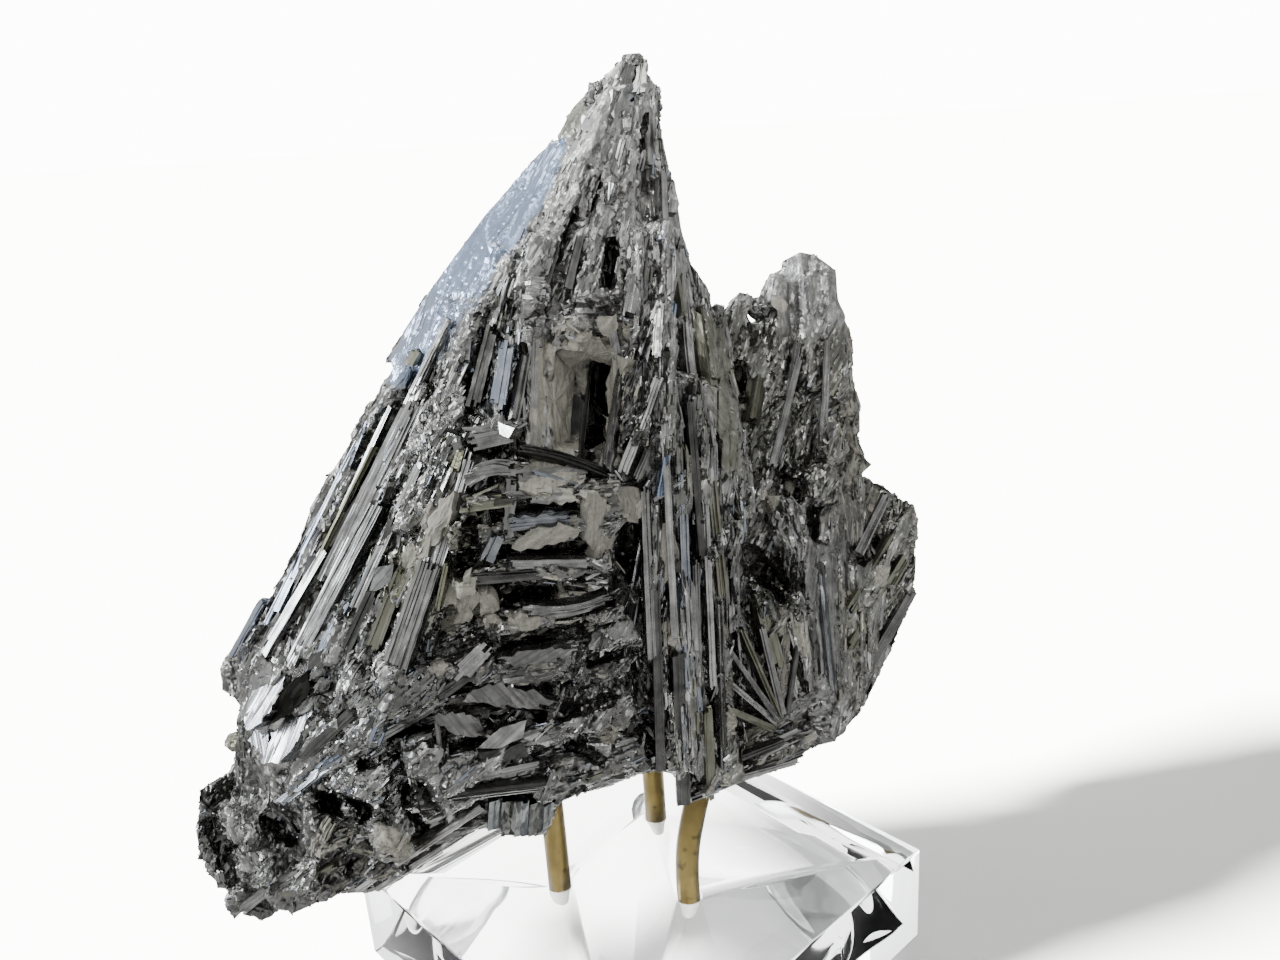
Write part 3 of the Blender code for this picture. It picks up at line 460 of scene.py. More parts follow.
HABITS: tuple[Habit, ...] = (
    # The main peak. Its tones over 1 lift it above a fresh face: partly stibnite's own bright reflectance, partly
    # painted light, so that the peak reads as brightly lit.
    Habit(
        (632, 85), (0.25, -0.97), 6, 6, 0.0, 0.3, 1.2, 1.0, 0.1, 0.12, gloss=0.3, relief=0.6, stature=0.4, tone=1.2,
    ),
    Habit(
        (585, 135), (0.45, -0.9), 6, 8, 0.0, 0.2, 1.2, 0.8, 0.12, 0.02, gloss=0.2, relief=0.5, stature=0.5, tone=1.25,
    ),
    Habit(
        (605, 190), (0.38, -0.92), 7, 8, 0.0, 0.3, 1.4, 0.8, 0.12, 0.02, gloss=0.25, relief=0.6, stature=0.5, tone=1.1,
    ),
    Habit(
        (655, 170), (0.02, -1.0), 5, 5, 0.1, 0.5, 1.2, 0.5, 0.08, 0.12, gloss=0.4, relief=0.7, stature=0.6, tone=1.05,
    ),
    Habit(
        (545, 240), (0.45, -0.9), 7, 8, 0.0, 0.4, 1.4, 0.8, 0.12, 0.02, gloss=0.35, relief=0.7, stature=0.5, tone=1.0,
    ),
    Habit(
        (600, 265), (0.32, -0.95), 7, 9, 0.05, 0.5, 1.4, 0.7, 0.16, 0.02, gloss=0.3, relief=0.8, stature=0.6, tone=1.0,
    ),
    Habit((662, 265), (-0.02, -1.0), 6, 5, 0.2, 0.8, 1.4, 0.3, 0.1, 0.12, stature=0.7, tone=0.8),
    Habit((500, 210), (0.62, -0.78), 5, 3, 0.0, 0.0, 0.1, 0.0, 0.0, 1.0, relief=0.15, gloss=0.9),
    # The left flank.
    Habit((465, 300), (0.48, -0.88), 6, 6, 0.1, 0.5, 1.2, 1.5, 0.05, 0.2, gloss=0.45, stature=0.6, tone=0.0),
    Habit((445, 420), (0.42, -0.91), 6, 7, 0.3, 0.8, 1.5, 2.2, 0.08, 0.1, gloss=0.8, stature=0.45),
    Habit((410, 520), (0.42, -0.91), 6, 7, 0.3, 0.8, 1.5, 2.2, 0.1, 0.1, gloss=0.9, stature=0.5),
    Habit(
        (340, 530), (0.50, -0.87), 9, 1.0, 0.9, 0.5, 0.3, 0.1, 0.02, 0.15, gloss=0.6, relief=0.8,
        stature=1.7, tone=0.15,
    ),
    Habit((290, 720), (0.50, -0.87), 6, 3, 0.3, 0.3, 0.4, 0.3, 0.02, 0.4, gloss=1.0, relief=0.4, stature=1.2),
    Habit((235, 680), (0.2, -0.98), 4, 20, 0.2, 1.0, 1.0, 1.5, 0.1, 0.1, stature=0.4),
    Habit((370, 640), (0.45, -0.9), 7, 12, 0.4, 1.0, 1.6, 1.5, 0.1, 0.05, stature=0.65),
    Habit((430, 560), (0.28, -0.96), 6, 4, 1.0, 1.0, 1.0, 0.3, 0.15, 0.05, 0.4),
    # The sweep and the lobe at the lower left.
    Habit((400, 700), (0.6, -0.8), 7, 10, 0.2, 1.0, 2.0, 1.2, 0.12, 0.1, stature=0.65),
    Habit((360, 770), (0.72, -0.69), 7, 14, 0.1, 0.8, 2.0, 1.4, 0.15, 0.1, stature=0.65),
    Habit(
        (270, 850), (0.4, -0.92), 9, 35, 0.0, 0.2, 1.0, 1.6, 0.15, 0.02, gloss=0.25, relief=0.8, stature=0.5, tone=0.45,
    ),
    Habit((340, 870), (0.85, -0.52), 7, 14, 0.4, 1.0, 1.6, 0.8, 0.3, 0.05, gloss=0.35),
    # The vug and the shelves under it.
    Habit((570, 400), (0.12, -0.99), 7, 5, 0.1, 0.2, 0.3, 0.1, 0.3, 0.02, relief=0.4, tone=0.5),
    Habit((590, 320), (0.9, -0.3), 5, 45, 0.0, 0.6, 1.2, 0.8, 0.33, 0.05, stature=0.45),
    Habit((510, 360), (0.16, -0.99), 5, 4, 1.0, 1.0, 1.0, 0.2, 0.1, 0.1),
    Habit((645, 390), (0.22, -0.97), 5, 7, 0.6, 1.2, 1.6, 0.3, 0.2, 0.06, 0.05),
    Habit((530, 500), (1.0, -0.05), 7, 12, 0.3, 0.8, 1.2, 0.4, 0.33, 0.05, 0.02, stature=0.6),
    Habit((530, 580), (0.98, 0.1), 7, 14, 0.05, 0.5, 1.4, 0.8, 0.3, 0.02, stature=0.6),
    Habit((440, 560), (0.3, -0.95), 4, 10, 0.4, 0.8, 1.0, 0.6, 0.4, 0.0),
    # The lower middle.
    Habit((530, 660), (0.95, -0.25), 7, 14, 0.0, 0.3, 1.8, 1.2, 0.22, 0.02, gloss=0.4, stature=0.55),
    Habit((620, 700), (0.5, -0.85), 7, 50, 0.0, 0.15, 2.2, 1.6, 0.15, 0.02, gloss=0.45, stature=0.4),
    Habit((480, 730), (0.95, -0.3), 7, 14, 0.05, 0.4, 1.6, 1.0, 0.22, 0.1),
    Habit((600, 770), (0.9, -0.4), 7, 14, 0.1, 0.6, 1.8, 1.0, 0.2, 0.1, stature=0.65),
    # The columns.
    Habit((700, 400), (0.05, -1.0), 6, 4, 0.5, 1.0, 1.2, 0.5, 0.12, 0.04, 0.05),
    Habit((690, 560), (-0.02, -1.0), 8, 2, 1.5, 1.3, 1.0, 0.1, 0.15, 0.08, 0.04, stature=1.4),
    Habit((700, 720), (-0.04, -1.0), 7, 3, 1.4, 1.4, 1.2, 0.1, 0.22, 0.1, 0.1, stature=1.2),
    # The rear mass and the right side.
    Habit(
        (805, 290), (0.1, -0.99), 5, 20, 0.0, 0.0, 0.3, 0.5, 0.3, 0.1, gloss=0.25, relief=0.6, stature=0.35, tone=0.9,
    ),
    Habit(
        (790, 400), (0.35, -0.93), 8, 6, 0.05, 0.2, 0.7, 0.7, 0.22, 0.0, 0.1, gloss=0.3, relief=0.7, stature=0.8,
    ),
    Habit((790, 520), (0.3, -0.95), 6, 35, 0.0, 0.2, 1.2, 1.0, 0.2, 0.0, 0.04, gloss=0.4, stature=0.45),
    Habit((845, 560), (-0.05, -1.0), 6, 5, 0.1, 0.2, 0.5, 0.8, 0.2, 0.03, gloss=0.35, relief=0.6),
    Habit((830, 680), (-0.1, -0.99), 6, 8, 0.05, 0.3, 0.6, 0.6, 0.25, 0.03, gloss=0.35, relief=0.7),
    Habit((765, 650), (-0.25, -0.97), 5, 8, 0.6, 1.0, 1.0, 0.3, 0.3, 0.05, 0.1),
    Habit((740, 775), (0.93, -0.36), 6, 6, 1.0, 1.2, 1.2, 0.2, 0.33, 0.05, 0.1),
    Habit((885, 600), (0.53, -0.85), 8, 5, 0.7, 0.5, 0.5, 0.4, 0.25, 0.0, 0.1, gloss=0.25, relief=0.8),
    Habit((880, 500), (0.3, -0.95), 6, 12, 0.1, 0.3, 0.6, 0.7, 0.28, 0.0, 0.08, gloss=0.25, relief=0.7),
    # The back, the sides and the underside.
    Habit((3, 6, 106), (0.35, 0.0, 0.94), 14, 7, 0.5, 1.0, 1.8, 0.3, 0.08),
    Habit((-20, 12, 76), (0.45, 0.0, 0.89), 16, 8, 1.2, 1.2, 1.2, 0.6, 0.15, 0.3),
    Habit((6, 15, 64), (0.1, 0.1, 0.99), 16, 8, 1.2, 1.2, 1.2, 0.6, 0.3),
    Habit((27, 26, 72), (0.05, -0.1, 0.99), 16, 8, 1.0, 1.2, 1.2, 0.4, 0.35, 0.0, 0.2),
    Habit((-12, 13, 48), (0.8, 0.0, 0.6), 12, 14, 0.8, 1.2, 1.6, 1.0, 0.3),
    Habit((-44, 0, 52), (0.5, 0.1, 0.86), 10, 12, 0.6, 1.2, 1.4, 1.2, 0.12),
    Habit((-40, -4, 42), (0.7, 0.1, 0.7), 10, 30, 0.3, 1.0, 1.4, 2.0, 0.15, stature=0.65),
    Habit((0, 0, 39), (0.95, 0.1, 0.1), 14, 20, 0.6, 1.2, 1.4, 1.0, 0.25),
    Habit((38, 16, 60), (0.2, -0.2, 0.96), 10, 10, 1.0, 1.2, 1.0, 0.4, 0.4, 0.0, 0.2),
)
# Round patches of dull crust on the show face: right, down and half width in pixels.
CRUST_PATCHES: tuple[tuple[float, float, float], ...] = (
    (574, 352, 9), (590, 340, 8), (606, 346, 9), (620, 330, 8), (604, 322, 6), (622, 378, 9), (617, 402, 9),
    (612, 428, 10), (606, 455, 10), (636, 505, 15), (545, 468, 12), (572, 470, 9), (545, 494, 9), (568, 498, 9),
    (530, 537, 9), (560, 540, 9), (430, 520, 12), (412, 562, 11), (462, 592, 13), (484, 612, 13),
    (452, 624, 10), (560, 600, 9), (672, 628, 9), (674, 650, 8), (722, 600, 7), (720, 632, 7), (729, 723, 11),
    (798, 632, 13), (842, 600, 9), (385, 838, 13), (403, 850, 10), (782, 300, 9), (770, 500, 9), (882, 575, 8),
    (610, 735, 8), (440, 668, 8),
)


@dataclass(frozen=True)
class Pane:
    """A broad broken face of the mass itself: its corners in pixels, and the shares that hold on it."""

    corners: tuple[Pixel, ...]
    tone: float = 0.9
    gloss: float = 0.9
    blue: float = 0.0
    gold: float = 0.0
    crust: float = 0.0
    relief: float = 0.12
    soft: float = 3.0  # pixels over which it gives way to what is round it

    def share(self, points: Array, pixels: Array) -> Array:
        """How far each point lies on the face, from 0 to 1.

        Args:
            points: Rows of x, y and z in millimetres.
            pixels: The same points in the view.

        Returns:
            One value for each point.
        """
        low, high = np.min(self.corners, axis=0) - 8, np.max(self.corners, axis=0) + 8
        near = np.nonzero(np.all((pixels > low) & (pixels < high), axis=1))[0]
        held = np.zeros(len(points))
        distance = outline_distance(pixels[near], self.corners)[0] + 3.5 * lattice_noise(points[near] / 1.1, 23)
        held[near] = 1 - smoothstep(-self.soft, self.soft, distance)
        return held


PANES: tuple[Pane, ...] = (
    # The faces of the main peak.
    Pane(
        ((548, 132), (568, 134), (560, 166), (540, 208), (508, 252), (478, 296), (425, 300), (480, 210)),
        0.5, 0.8, 1.0, relief=0.2, soft=5.0,
    ),
    Pane(
        ((425, 292), (476, 300), (446, 346), (424, 378), (398, 392), (375, 370)), 1.0, 1.0, 0.75, relief=0.35, soft=8.0,
    ),
    Pane(((570, 100), (590, 106), (572, 136), (545, 140)), 0.55, 0.35, gold=0.2),
    Pane(((624, 106), (626, 84), (636, 80), (638, 104)), 0.9, 0.6, 0.5, relief=0.4),
    # The walls of the vug.
    Pane(((532, 336), (546, 342), (548, 440), (528, 446)), 1.0, 0.1, crust=0.46, relief=0.2),
    Pane(((546, 342), (580, 350), (600, 366), (584, 468), (550, 450)), 0.7, 0.1, crust=0.42, relief=0.25),
    # The cleavage at the far left.
    Pane(((262, 660), (286, 672), (262, 728), (236, 716)), 1.0, 1.0, 0.4, relief=0.1),
    Pane(((288, 694), (316, 708), (288, 768), (256, 760)), 1.0, 1.0, 0.35, relief=0.1),
    Pane(((292, 712), (306, 716), (292, 744), (276, 742)), 0.0, 0.15, relief=0.3, soft=1.5),
    Pane(((262, 684), (275, 690), (264, 706), (252, 700)), 0.0, 0.2, relief=0.3, soft=1.5),
    # The rear mass and the fan.
    Pane(
        ((778, 268), (802, 252), (838, 272), (842, 318), (815, 338), (786, 322)), 0.8, 0.25, 0.1, relief=0.35, soft=8.0,
    ),
    Pane(((806, 540), (826, 534), (838, 600), (836, 700), (818, 724), (808, 640)), 0.5, 0.5, 0.15, relief=0.35),
    Pane(
        ((700, 304), (722, 330), (738, 390), (742, 470), (722, 474), (712, 400), (696, 340)), 0.4, 0.4,
        gold=0.2, relief=0.3,
    ),
)
FAN_CENTRE: Pixel = (783, 718)
FAN_REACH = 75.0  # pixels over which blades spread from the fan's centre
MARKS = ("shade", "crust", "blue", "gold", "gloss", "flake")  # what the metal's finish reads, point by point
SHARES = (
    "wander", "laths", "blades", "splinters", "grains", "crust", "blue", "gold", "gloss", "relief", "stature",
    "tone",
)


class GrowthField:
    """Blends the habits over the cluster: which way crystals point, and which sizes and finishes they have."""

    SHARPNESS = 2.4

    def __init__(self, datum: Datum) -> None:
        """Finds the place and heading of each habit.

        Args:
            datum: The front that the show face's habits sit on.
        """
        right, up, _ = SIGHT.axes()
        places, headings = [], []
        for habit in HABITS:
            on_face = len(habit.at) == 2
            places.append(datum.place(habit.at) if on_face else np.array(habit.at, float))
            heading = np.array(habit.heading, float)
            headings.append(right * heading[0] - up * heading[1] if on_face else heading)
        self.places = np.array(places)
        self.headings = unit(np.array(headings))
        self.reaches = np.array([habit.reach for habit in HABITS])
        self.shares = np.array([[getattr(h, name) for name in SHARES] for h in HABITS])

    def weights(self, points: Array) -> Array:
        """How much each habit counts at each point, as rows that add up to one."""
        square = np.sum(points**2, axis=1)[:, None] - 2 * points @ self.places.T + np.sum(self.places**2, axis=1)
        weight = 1 / (1e-3 + np.maximum(square, 0) / self.reaches**2) ** self.SHARPNESS
        return weight / weight.sum(axis=1, keepdims=True)

    def sample(self, points: Array, normals: Array) -> tuple[Array, dict[str, Array]]:
        """Reads the field on a surface.

        Args:
            points: Rows of x, y and z in millimetres.
            normals: The surface's smoothed normals there.

        Returns:
            The heading in the surface at each point, and each share by name.
        """
        weight = self.weights(points)
        heading = weight @ self.headings
        right, up, _ = SIGHT.axes()
        pixels, _ = SIGHT.project(points)
        spoke = pixels - np.array(FAN_CENTRE)
        nearness = 1 - smoothstep(0.75, 1.0, np.linalg.norm(spoke, axis=1) / FAN_REACH)
        nearness *= (normals @ SIGHT.axes()[2] < 0) & (spoke[:, 1] < 40)
        spokes = unit(spoke[:, :1] * right - spoke[:, 1:] * up)
        heading = heading * (1 - nearness[:, None]) + spokes * nearness[:, None]
        view = unit(points - np.array(SIGHT.stand))
        facing = -np.sum(view * normals, axis=1)
        slide = -np.sum(heading * normals, axis=1) / np.where(facing > 0.3, -facing, 1.0)
        along_ray = heading + view * np.clip(slide, -0.9, 0.9)[:, None]
        in_surface = heading - normals * np.sum(heading * normals, axis=1, keepdims=True)
        heading = np.where((facing > 0.3)[:, None], along_ray, in_surface)
        heading -= normals * np.sum(heading * normals, axis=1, keepdims=True) * 0.8
        blended = dict(zip(SHARES, (weight @ self.shares).T))
        blended["patches"] = self._patches(points, pixels) * (facing > 0)
        blended["crust"] = np.maximum(blended["crust"], blended["patches"])
        for pane in PANES:
            held = pane.share(points, pixels) * (facing > 0)
            for name in ("tone", "gloss", "blue", "gold", "crust", "relief"):
                blended[name] = blended[name] * (1 - held) + getattr(pane, name) * held
            for name in ("laths", "blades", "splinters", "grains"):
                blended[name] = blended[name] * (1 - held * 0.97)
        return unit(heading), blended

    def _patches(self, points: Array, pixels: Array) -> Array:
        """How far each point lies in a patch of crust, from 0 to 1."""
        ragged = 1 + 0.45 * lattice_noise(points / 1.3, 17)
        best = np.zeros(len(points))
        for across, down, half in CRUST_PATCHES:
            away = np.linalg.norm(pixels - np.array((across, down)), axis=1) * ragged / half
            best = np.maximum(best, 1 - smoothstep(0.8, 1.15, away))
        return best


# ---------------------------------------------------------------- hollows cut into the show face


@dataclass(frozen=True)
class Hollow:
    """A crack or hole: the two ends of its middle line in pixels, half its width there, and its depth."""

    start: Pixel
    end: Pixel
    half_width: float
    depth: float


HOLLOWS: tuple[Hollow, ...] = (
    Hollow((612, 245), (606, 285), 5.5, 5.0),
    Hollow((600, 180), (590, 214), 2.2, 2.0),
    Hollow((576, 208), (566, 236), 2.4, 2.0),
    Hollow((646, 118), (640, 150), 2.2, 1.6),
    Hollow((566, 240), (556, 262), 2.4, 2.0),
    Hollow((604, 372), (592, 462), 12.5, 9.0),
    Hollow((562, 385), (578, 430), 17.0, 1.2),
    Hollow((488, 335), (480, 395), 5.5, 6.0),
    Hollow((524, 345), (516, 385), 3.0, 3.5),
    Hollow((472, 438), (490, 448), 9.0, 5.0),
    Hollow((535, 505), (600, 508), 5.5, 6.0),
    Hollow((468, 520), (505, 522), 4.0, 5.0),
    Hollow((530, 556), (598, 552), 5.0, 6.0),
    Hollow((492, 590), (545, 592), 12.0, 8.0),
    Hollow((470, 535), (462, 575), 7.0, 5.0),
    Hollow((634, 530), (624, 584), 11.0, 8.0),
    Hollow((615, 592), (640, 606), 6.0, 5.0),
    Hollow((455, 706), (540, 716), 6.5, 7.0),
    Hollow((392, 730), (432, 722), 7.0, 5.0),
    Hollow((560, 715), (610, 700), 6.0, 5.0),
    Hollow((590, 660), (632, 648), 6.0, 4.5),
    Hollow((470, 790), (540, 778), 4.5, 4.0),
    Hollow((505, 640), (552, 646), 5.5, 5.0),
    Hollow((440, 740), (478, 742), 5.0, 5.0),
    Hollow((560, 618), (612, 604), 3.4, 3.5),
    Hollow((640, 720), (660, 765), 7.0, 6.0),
    Hollow((600, 760), (570, 745), 5.0, 3.5),
    Hollow((668, 560), (672, 690), 2.2, 3.0),
    Hollow((700, 560), (706, 640), 2.2, 2.6),
    Hollow((728, 560), (742, 760), 2.8, 4.0),
    Hollow((712, 690), (722, 745), 4.0, 3.5),
    Hollow((214, 826), (224, 846), 9.0, 6.0),
    Hollow((270, 820), (292, 835), 9.0, 5.0),
    Hollow((328, 802), (362, 812), 10.0, 6.0),
    Hollow((416, 792), (430, 820), 14.0, 7.0),
    Hollow((362, 765), (395, 755), 5.0, 4.0),
    Hollow((352, 868), (366, 850), 8.0, 4.0),
    Hollow((222, 862), (232, 880), 6.0, 3.0),
    Hollow((736, 375), (742, 395), 7.0, 5.0),
    Hollow((778, 470), (800, 500), 4.0, 3.0),
    Hollow((750, 556), (782, 592), 10.0, 4.0),
    Hollow((752, 608), (760, 650), 4.0, 4.0),
    Hollow((745, 715), (772, 718), 4.0, 3.0),
    Hollow((790, 640), (806, 690), 3.0, 3.0),
    Hollow((862, 560), (880, 540), 5.0, 3.0),
    Hollow((892, 640), (902, 625), 5.0, 3.0),
    Hollow((262, 712), (300, 668), 9.0, 0.9),
    Hollow((285, 738), (318, 700), 8.0, 1.0),
)


def hollow_depth(pixels: Array) -> Array:
    """How deep the hollows are at some pixels.

    Args:
        pixels: Rows of two.

    Returns:
        The depth in millimetres, zero outside the hollows.
    """
    total = np.zeros(len(pixels))
    for hollow in HOLLOWS:
        start, end = np.array(hollow.start), np.array(hollow.end)
        run = end - start
        share = np.clip((pixels - start) @ run / max(run @ run, 1e-6), 0, 1)
        away = np.linalg.norm(pixels - start - share[:, None] * run, axis=1)
        total = np.maximum(total, hollow.depth * (1 - smoothstep(0.7, 1.25, away / hollow.half_width)))
    return total


# ---------------------------------------------------------------- the body of the cluster


@dataclass(frozen=True)
class Bricks:
    """Parallel broken prisms: strips side by side, each cut into lengths at its own places, in millimetres."""

    width: float
    length: float
    height: float
    tilt: float
    groove: float
    seed: int
    STRIPS: ClassVar[int] = 600
    JAGS: ClassVar[int] = 997
    CHANCES: ClassVar[int] = 4093

    def relief(self, along: Array, across: Array) -> Array:
        """How far the prisms stand out.

        Args:
            along: Place along the prisms, in millimetres.
            across: Place across the prisms.

        Returns:
            The height at each place in millimetres.
        """
        rng = np.random.default_rng(self.seed)
        count = self.STRIPS
        widths = self.width * rng.uniform(0.45, 1.7, count)
        walls = np.cumsum(widths) - widths.sum() / 2
        strip = np.clip(np.searchsorted(walls, across), 1, count - 1)
        share = np.clip((across - walls[strip - 1]) / widths[strip], 0, 1) - 0.5
        jag = rng.uniform(-0.12, 0.12, self.JAGS)[np.floor(across / 0.35).astype(int) % self.JAGS] * self.length
        lengths = self.length * rng.uniform(0.3, 1.9, count)
        ends = np.cumsum(lengths) - lengths.sum() / 2
        slid = along + jag + rng.uniform(-8, 8, count)[strip] * self.length
        piece = np.clip(np.searchsorted(ends, slid), 1, count - 1)
        way = np.clip((slid - ends[piece - 1]) / lengths[piece], 0, 1) - 0.5
        chance = rng.uniform(-1, 1, (3, self.CHANCES))[:, (strip * 131 + piece * 17) % self.CHANCES]
        slope = np.tan(np.radians(self.tilt))
        height = chance[0] * self.height + chance[1] * slope * share * widths[strip]
        height = height + chance[2] * self.height * 0.6 * way
        return height - self.groove * smoothstep(0.34, 0.5, np.abs(share))


class CrystalBody:
    """The mass that the crystals stand in: the CAD solid remeshed and broken into parallel prisms."""

    VOXEL = 0.42
    DOMAIN_SPACING = 5.0
    DOMAIN_TRIES = 5000
    DOMAIN_STRETCH = 3.5
    TRIANGLES = 190_000
    SHOW_FACE_CARE = 0.75
    BRICKS = (Bricks(3.4, 16.0, 0.42, 12, 0.25, 21), Bricks(1.35, 6.5, 0.26, 22, 0.22, 22))
    GRIT = ((1.5, 0.22), (0.8, 0.18))  # cell and height of the flaky roughness
    SEED = 7

    def __init__(self) -> None:
        """Remeshes a copy of the CAD solid."""
        self.obj = merged_copy(CLUSTER_NODE, "stibnite_body")
        mesh = self.obj.data
        self.solid = BVHTree.FromPolygons(points_of(mesh).tolist(), triangles_of(mesh).tolist())
        remesh = self.obj.modifiers.new("even_faces", "REMESH")
        remesh.mode = "VOXEL"
        remesh.voxel_size = self.VOXEL * MM
        self.obj.data = evaluated(self.obj)
        self.obj.modifiers.remove(remesh)
        self.datum = Datum(self.solid)
        self.field = GrowthField(self.datum)
        self.near: BVHTree | None = None
        self._read(8)
        self._plant_domains()

    def _read(self, rounds: int) -> None:
        """Reads the mesh's points, and its normals averaged with their neighbours' a number of times."""
        mesh = self.obj.data
        edges = np.empty(len(mesh.edges) * 2, np.int32)
        mesh.edges.foreach_get("vertices", edges)
        first, second = edges.reshape(-1, 2).T
        self.points = points_of(mesh)
        normals = normals_of(mesh)
        size = len(normals)
        for _ in range(rounds):
            total = normals.copy()
            for axis in range(3):
                total[:, axis] += np.bincount(first, normals[second, axis], size)
                total[:, axis] += np.bincount(second, normals[first, axis], size)
            normals = unit(total)
        self.normals = normals

    def _plant_domains(self) -> None:
        """Spreads middles over the surface, each with one heading of its own for the crystals round it."""
        rng = np.random.default_rng(self.SEED)
        picked = rng.permutation(len(self.points))[: self.DOMAIN_TRIES]
        spots = self.points[picked]
        free = np.ones(len(spots), bool)
        middles = []
        for number in range(len(spots)):
            if free[number]:
                middles.append(picked[number])
                free &= np.linalg.norm(spots - spots[number], axis=1) > self.DOMAIN_SPACING
        self.middles = self.points[middles]
        normals = self.normals[middles]
        heading, shares = self.field.sample(self.middles, normals)
        swing = np.radians(shares["wander"] * 0.6 * rng.normal(0, 1, len(middles)))[:, None]
        self.middle_axes = unit(heading * np.cos(swing) + unit(np.cross(heading, normals)) * np.sin(swing))
        self.middle_sides = unit(np.cross(self.middle_axes, normals))
        self.middle_lift = rng.uniform(-1, 1, len(middles))
        self.middle_shift = rng.uniform(-60, 60, (2, len(middles)))

    def domain_of(self, points: Array) -> Array:
        """Finds the domain that each point belongs to.

        Args:
            points: Rows of x, y and z in millimetres.

        Returns:
            The number of each point's domain.
        """
        order = np.argsort(points[:, 2])
        sorted_points = points[order]
        best = np.full(len(points), np.inf)
        nearest = np.zeros(len(points), int)
        reach = self.DOMAIN_SPACING * self.DOMAIN_STRETCH
        for number, (middle, axis) in enumerate(zip(self.middles, self.middle_axes)):
            first, last = np.searchsorted(sorted_points[:, 2], (middle[2] - reach, middle[2] + reach))
            away = sorted_points[first:last] - middle
            along = away @ axis
            distance = np.sum(away * away, axis=1) - along**2 + (along / self.DOMAIN_STRETCH) ** 2
            closer = np.nonzero(distance < best[first:last])[0] + first
            best[closer] = distance[closer - first]
            nearest[closer] = number
        domains = np.empty(len(points), int)
        domains[order] = nearest
        return domains

    def sculpt(self) -> None:
        """Raises the prisms, opens the hollows, fits the outline and thins the mesh."""
        domain = self.domain_of(self.points)
        away = self.points - self.middles[domain]
        along = np.sum(away * self.middle_axes[domain], axis=1) + self.middle_shift[0][domain]
        across = np.sum(away * self.middle_sides[domain], axis=1) + self.middle_shift[1][domain]
        _, shares = self.field.sample(self.points, self.normals)
        total = self.middle_lift[domain] * 0.45
        for bricks in self.BRICKS:
            total += bricks.relief(along, across)
        rough = smoothstep(0.1, 1.5, shares["grains"]) * 0.8 + 0.35
        for cell, height in self.GRIT:
            total += lattice_noise(self.points / cell, int(cell * 10)) * height * rough
        self.points = self.points + self.normals * (total * shares["relief"])[:, None]
        self.front = self._in_front()
        self._open_hollows()
        self._fit_outline()
        low, high = (np.array(corner) / MM for corner in CAD_BOUNDS)
        self.points = np.clip(self.points, low, high)
        self.obj.data.vertices.foreach_set("co", (self.points * MM).astype(np.float32).ravel())
        self.obj.data.update()
        self._thin()

    def stand_off(self, points: Array) -> Array:
        """How far points stand off the sculpted body.

        Args:
            points: Rows of x, y and z in millimetres.

        Returns:
            The distance to the body, below nought inside it.
        """
        if self.near is None:
            self.near = BVHTree.FromPolygons(self.points.tolist(), triangles_of(self.obj.data).tolist())
        away = np.empty(len(points))
        for number, point in enumerate(points.tolist()):
            spot, normal, _, distance = self.near.find_nearest(point)
            away[number] = math.copysign(distance, (Vector(point) - spot).dot(normal))
        return away

    def _thin(self) -> None:
        """Thins the mesh, less on the show face, and stores what the finish reads."""
        group = self.obj.vertex_groups.new(name="thin_here")
        for share, chosen in ((1.0, self.front < 0.5), (1 - self.SHOW_FACE_CARE, self.front >= 0.5)):
            group.add(np.nonzero(chosen)[0].tolist(), share, "REPLACE")
        thin = self.obj.modifiers.new("fewer_faces", "DECIMATE")
        thin.ratio = self.TRIANGLES / len(triangles_of(self.obj.data))
        thin.use_collapse_triangulate = True
        thin.vertex_group = group.name
        thin.vertex_group_factor = 1.0
        self.obj.data = evaluated(self.obj)
        self.obj.modifiers.remove(thin)
        self.obj.vertex_groups.clear()
        self._read(4)
        domain = self.domain_of(self.points)
        _, shares = self.field.sample(self.points, self.normals)
        mesh = self.obj.data
        store(mesh, "axis", self.middle_axes[domain])
        shade = shares["tone"] + shares["relief"] * (
            0.25 * self.middle_lift[domain] + 0.2 * lattice_noise(self.points / 3, 5)
        )
        store(mesh, "shade", np.clip(shade, 0, 1.5))
        for mark in ("crust", "gold", "gloss"):
            store(mesh, mark, np.clip(shares[mark], 0, 1))
        store(mesh, "blue", smoothstep(0.35, 0.9, shares["blue"]))
        store(mesh, "flake", np.clip(shares["relief"], 0.08, 1))

    def _open_hollows(self) -> None:
        """Pushes the show face back where it has hollows."""
        pixels, _ = SIGHT.project(self.points)
        view = unit(self.points - np.array(SIGHT.stand))
        self.points = self.points + view * (hollow_depth(pixels) * self.front)[:, None]

    def _in_front(self) -> Array:
        """Which points the camera meets first, as 0 or 1."""
        view = unit(self.points - np.array(SIGHT.stand))
        facing = -np.sum(view * self.normals, axis=1)
        reach = np.linalg.norm(self.points - np.array(SIGHT.stand), axis=1)
        stand = Vector(SIGHT.stand)
        seen = np.zeros(len(self.points))
        for index in np.nonzero(facing > -0.1)[0]:
            hit = self.solid.ray_cast(stand, Vector(view[index]))
            seen[index] = hit[0] is None or hit[3] > reach[index] - 2.0
        return seen

    def _fit_outline(self) -> None:
        """Draws in what stands outside the outline in the show view."""
        right, up, _ = SIGHT.axes()
        pixels, depth = SIGHT.project(self.points)
        distance, nearest = outline_distance(pixels)
        move = (nearest - pixels) * (distance > 0)[:, None]
        scale = depth / SIGHT.focal_pixels
        self.points = self.points + (right * move[:, :1] - up * move[:, 1:]) * scale[:, None]


# ---------------------------------------------------------------- crystals scattered over the body


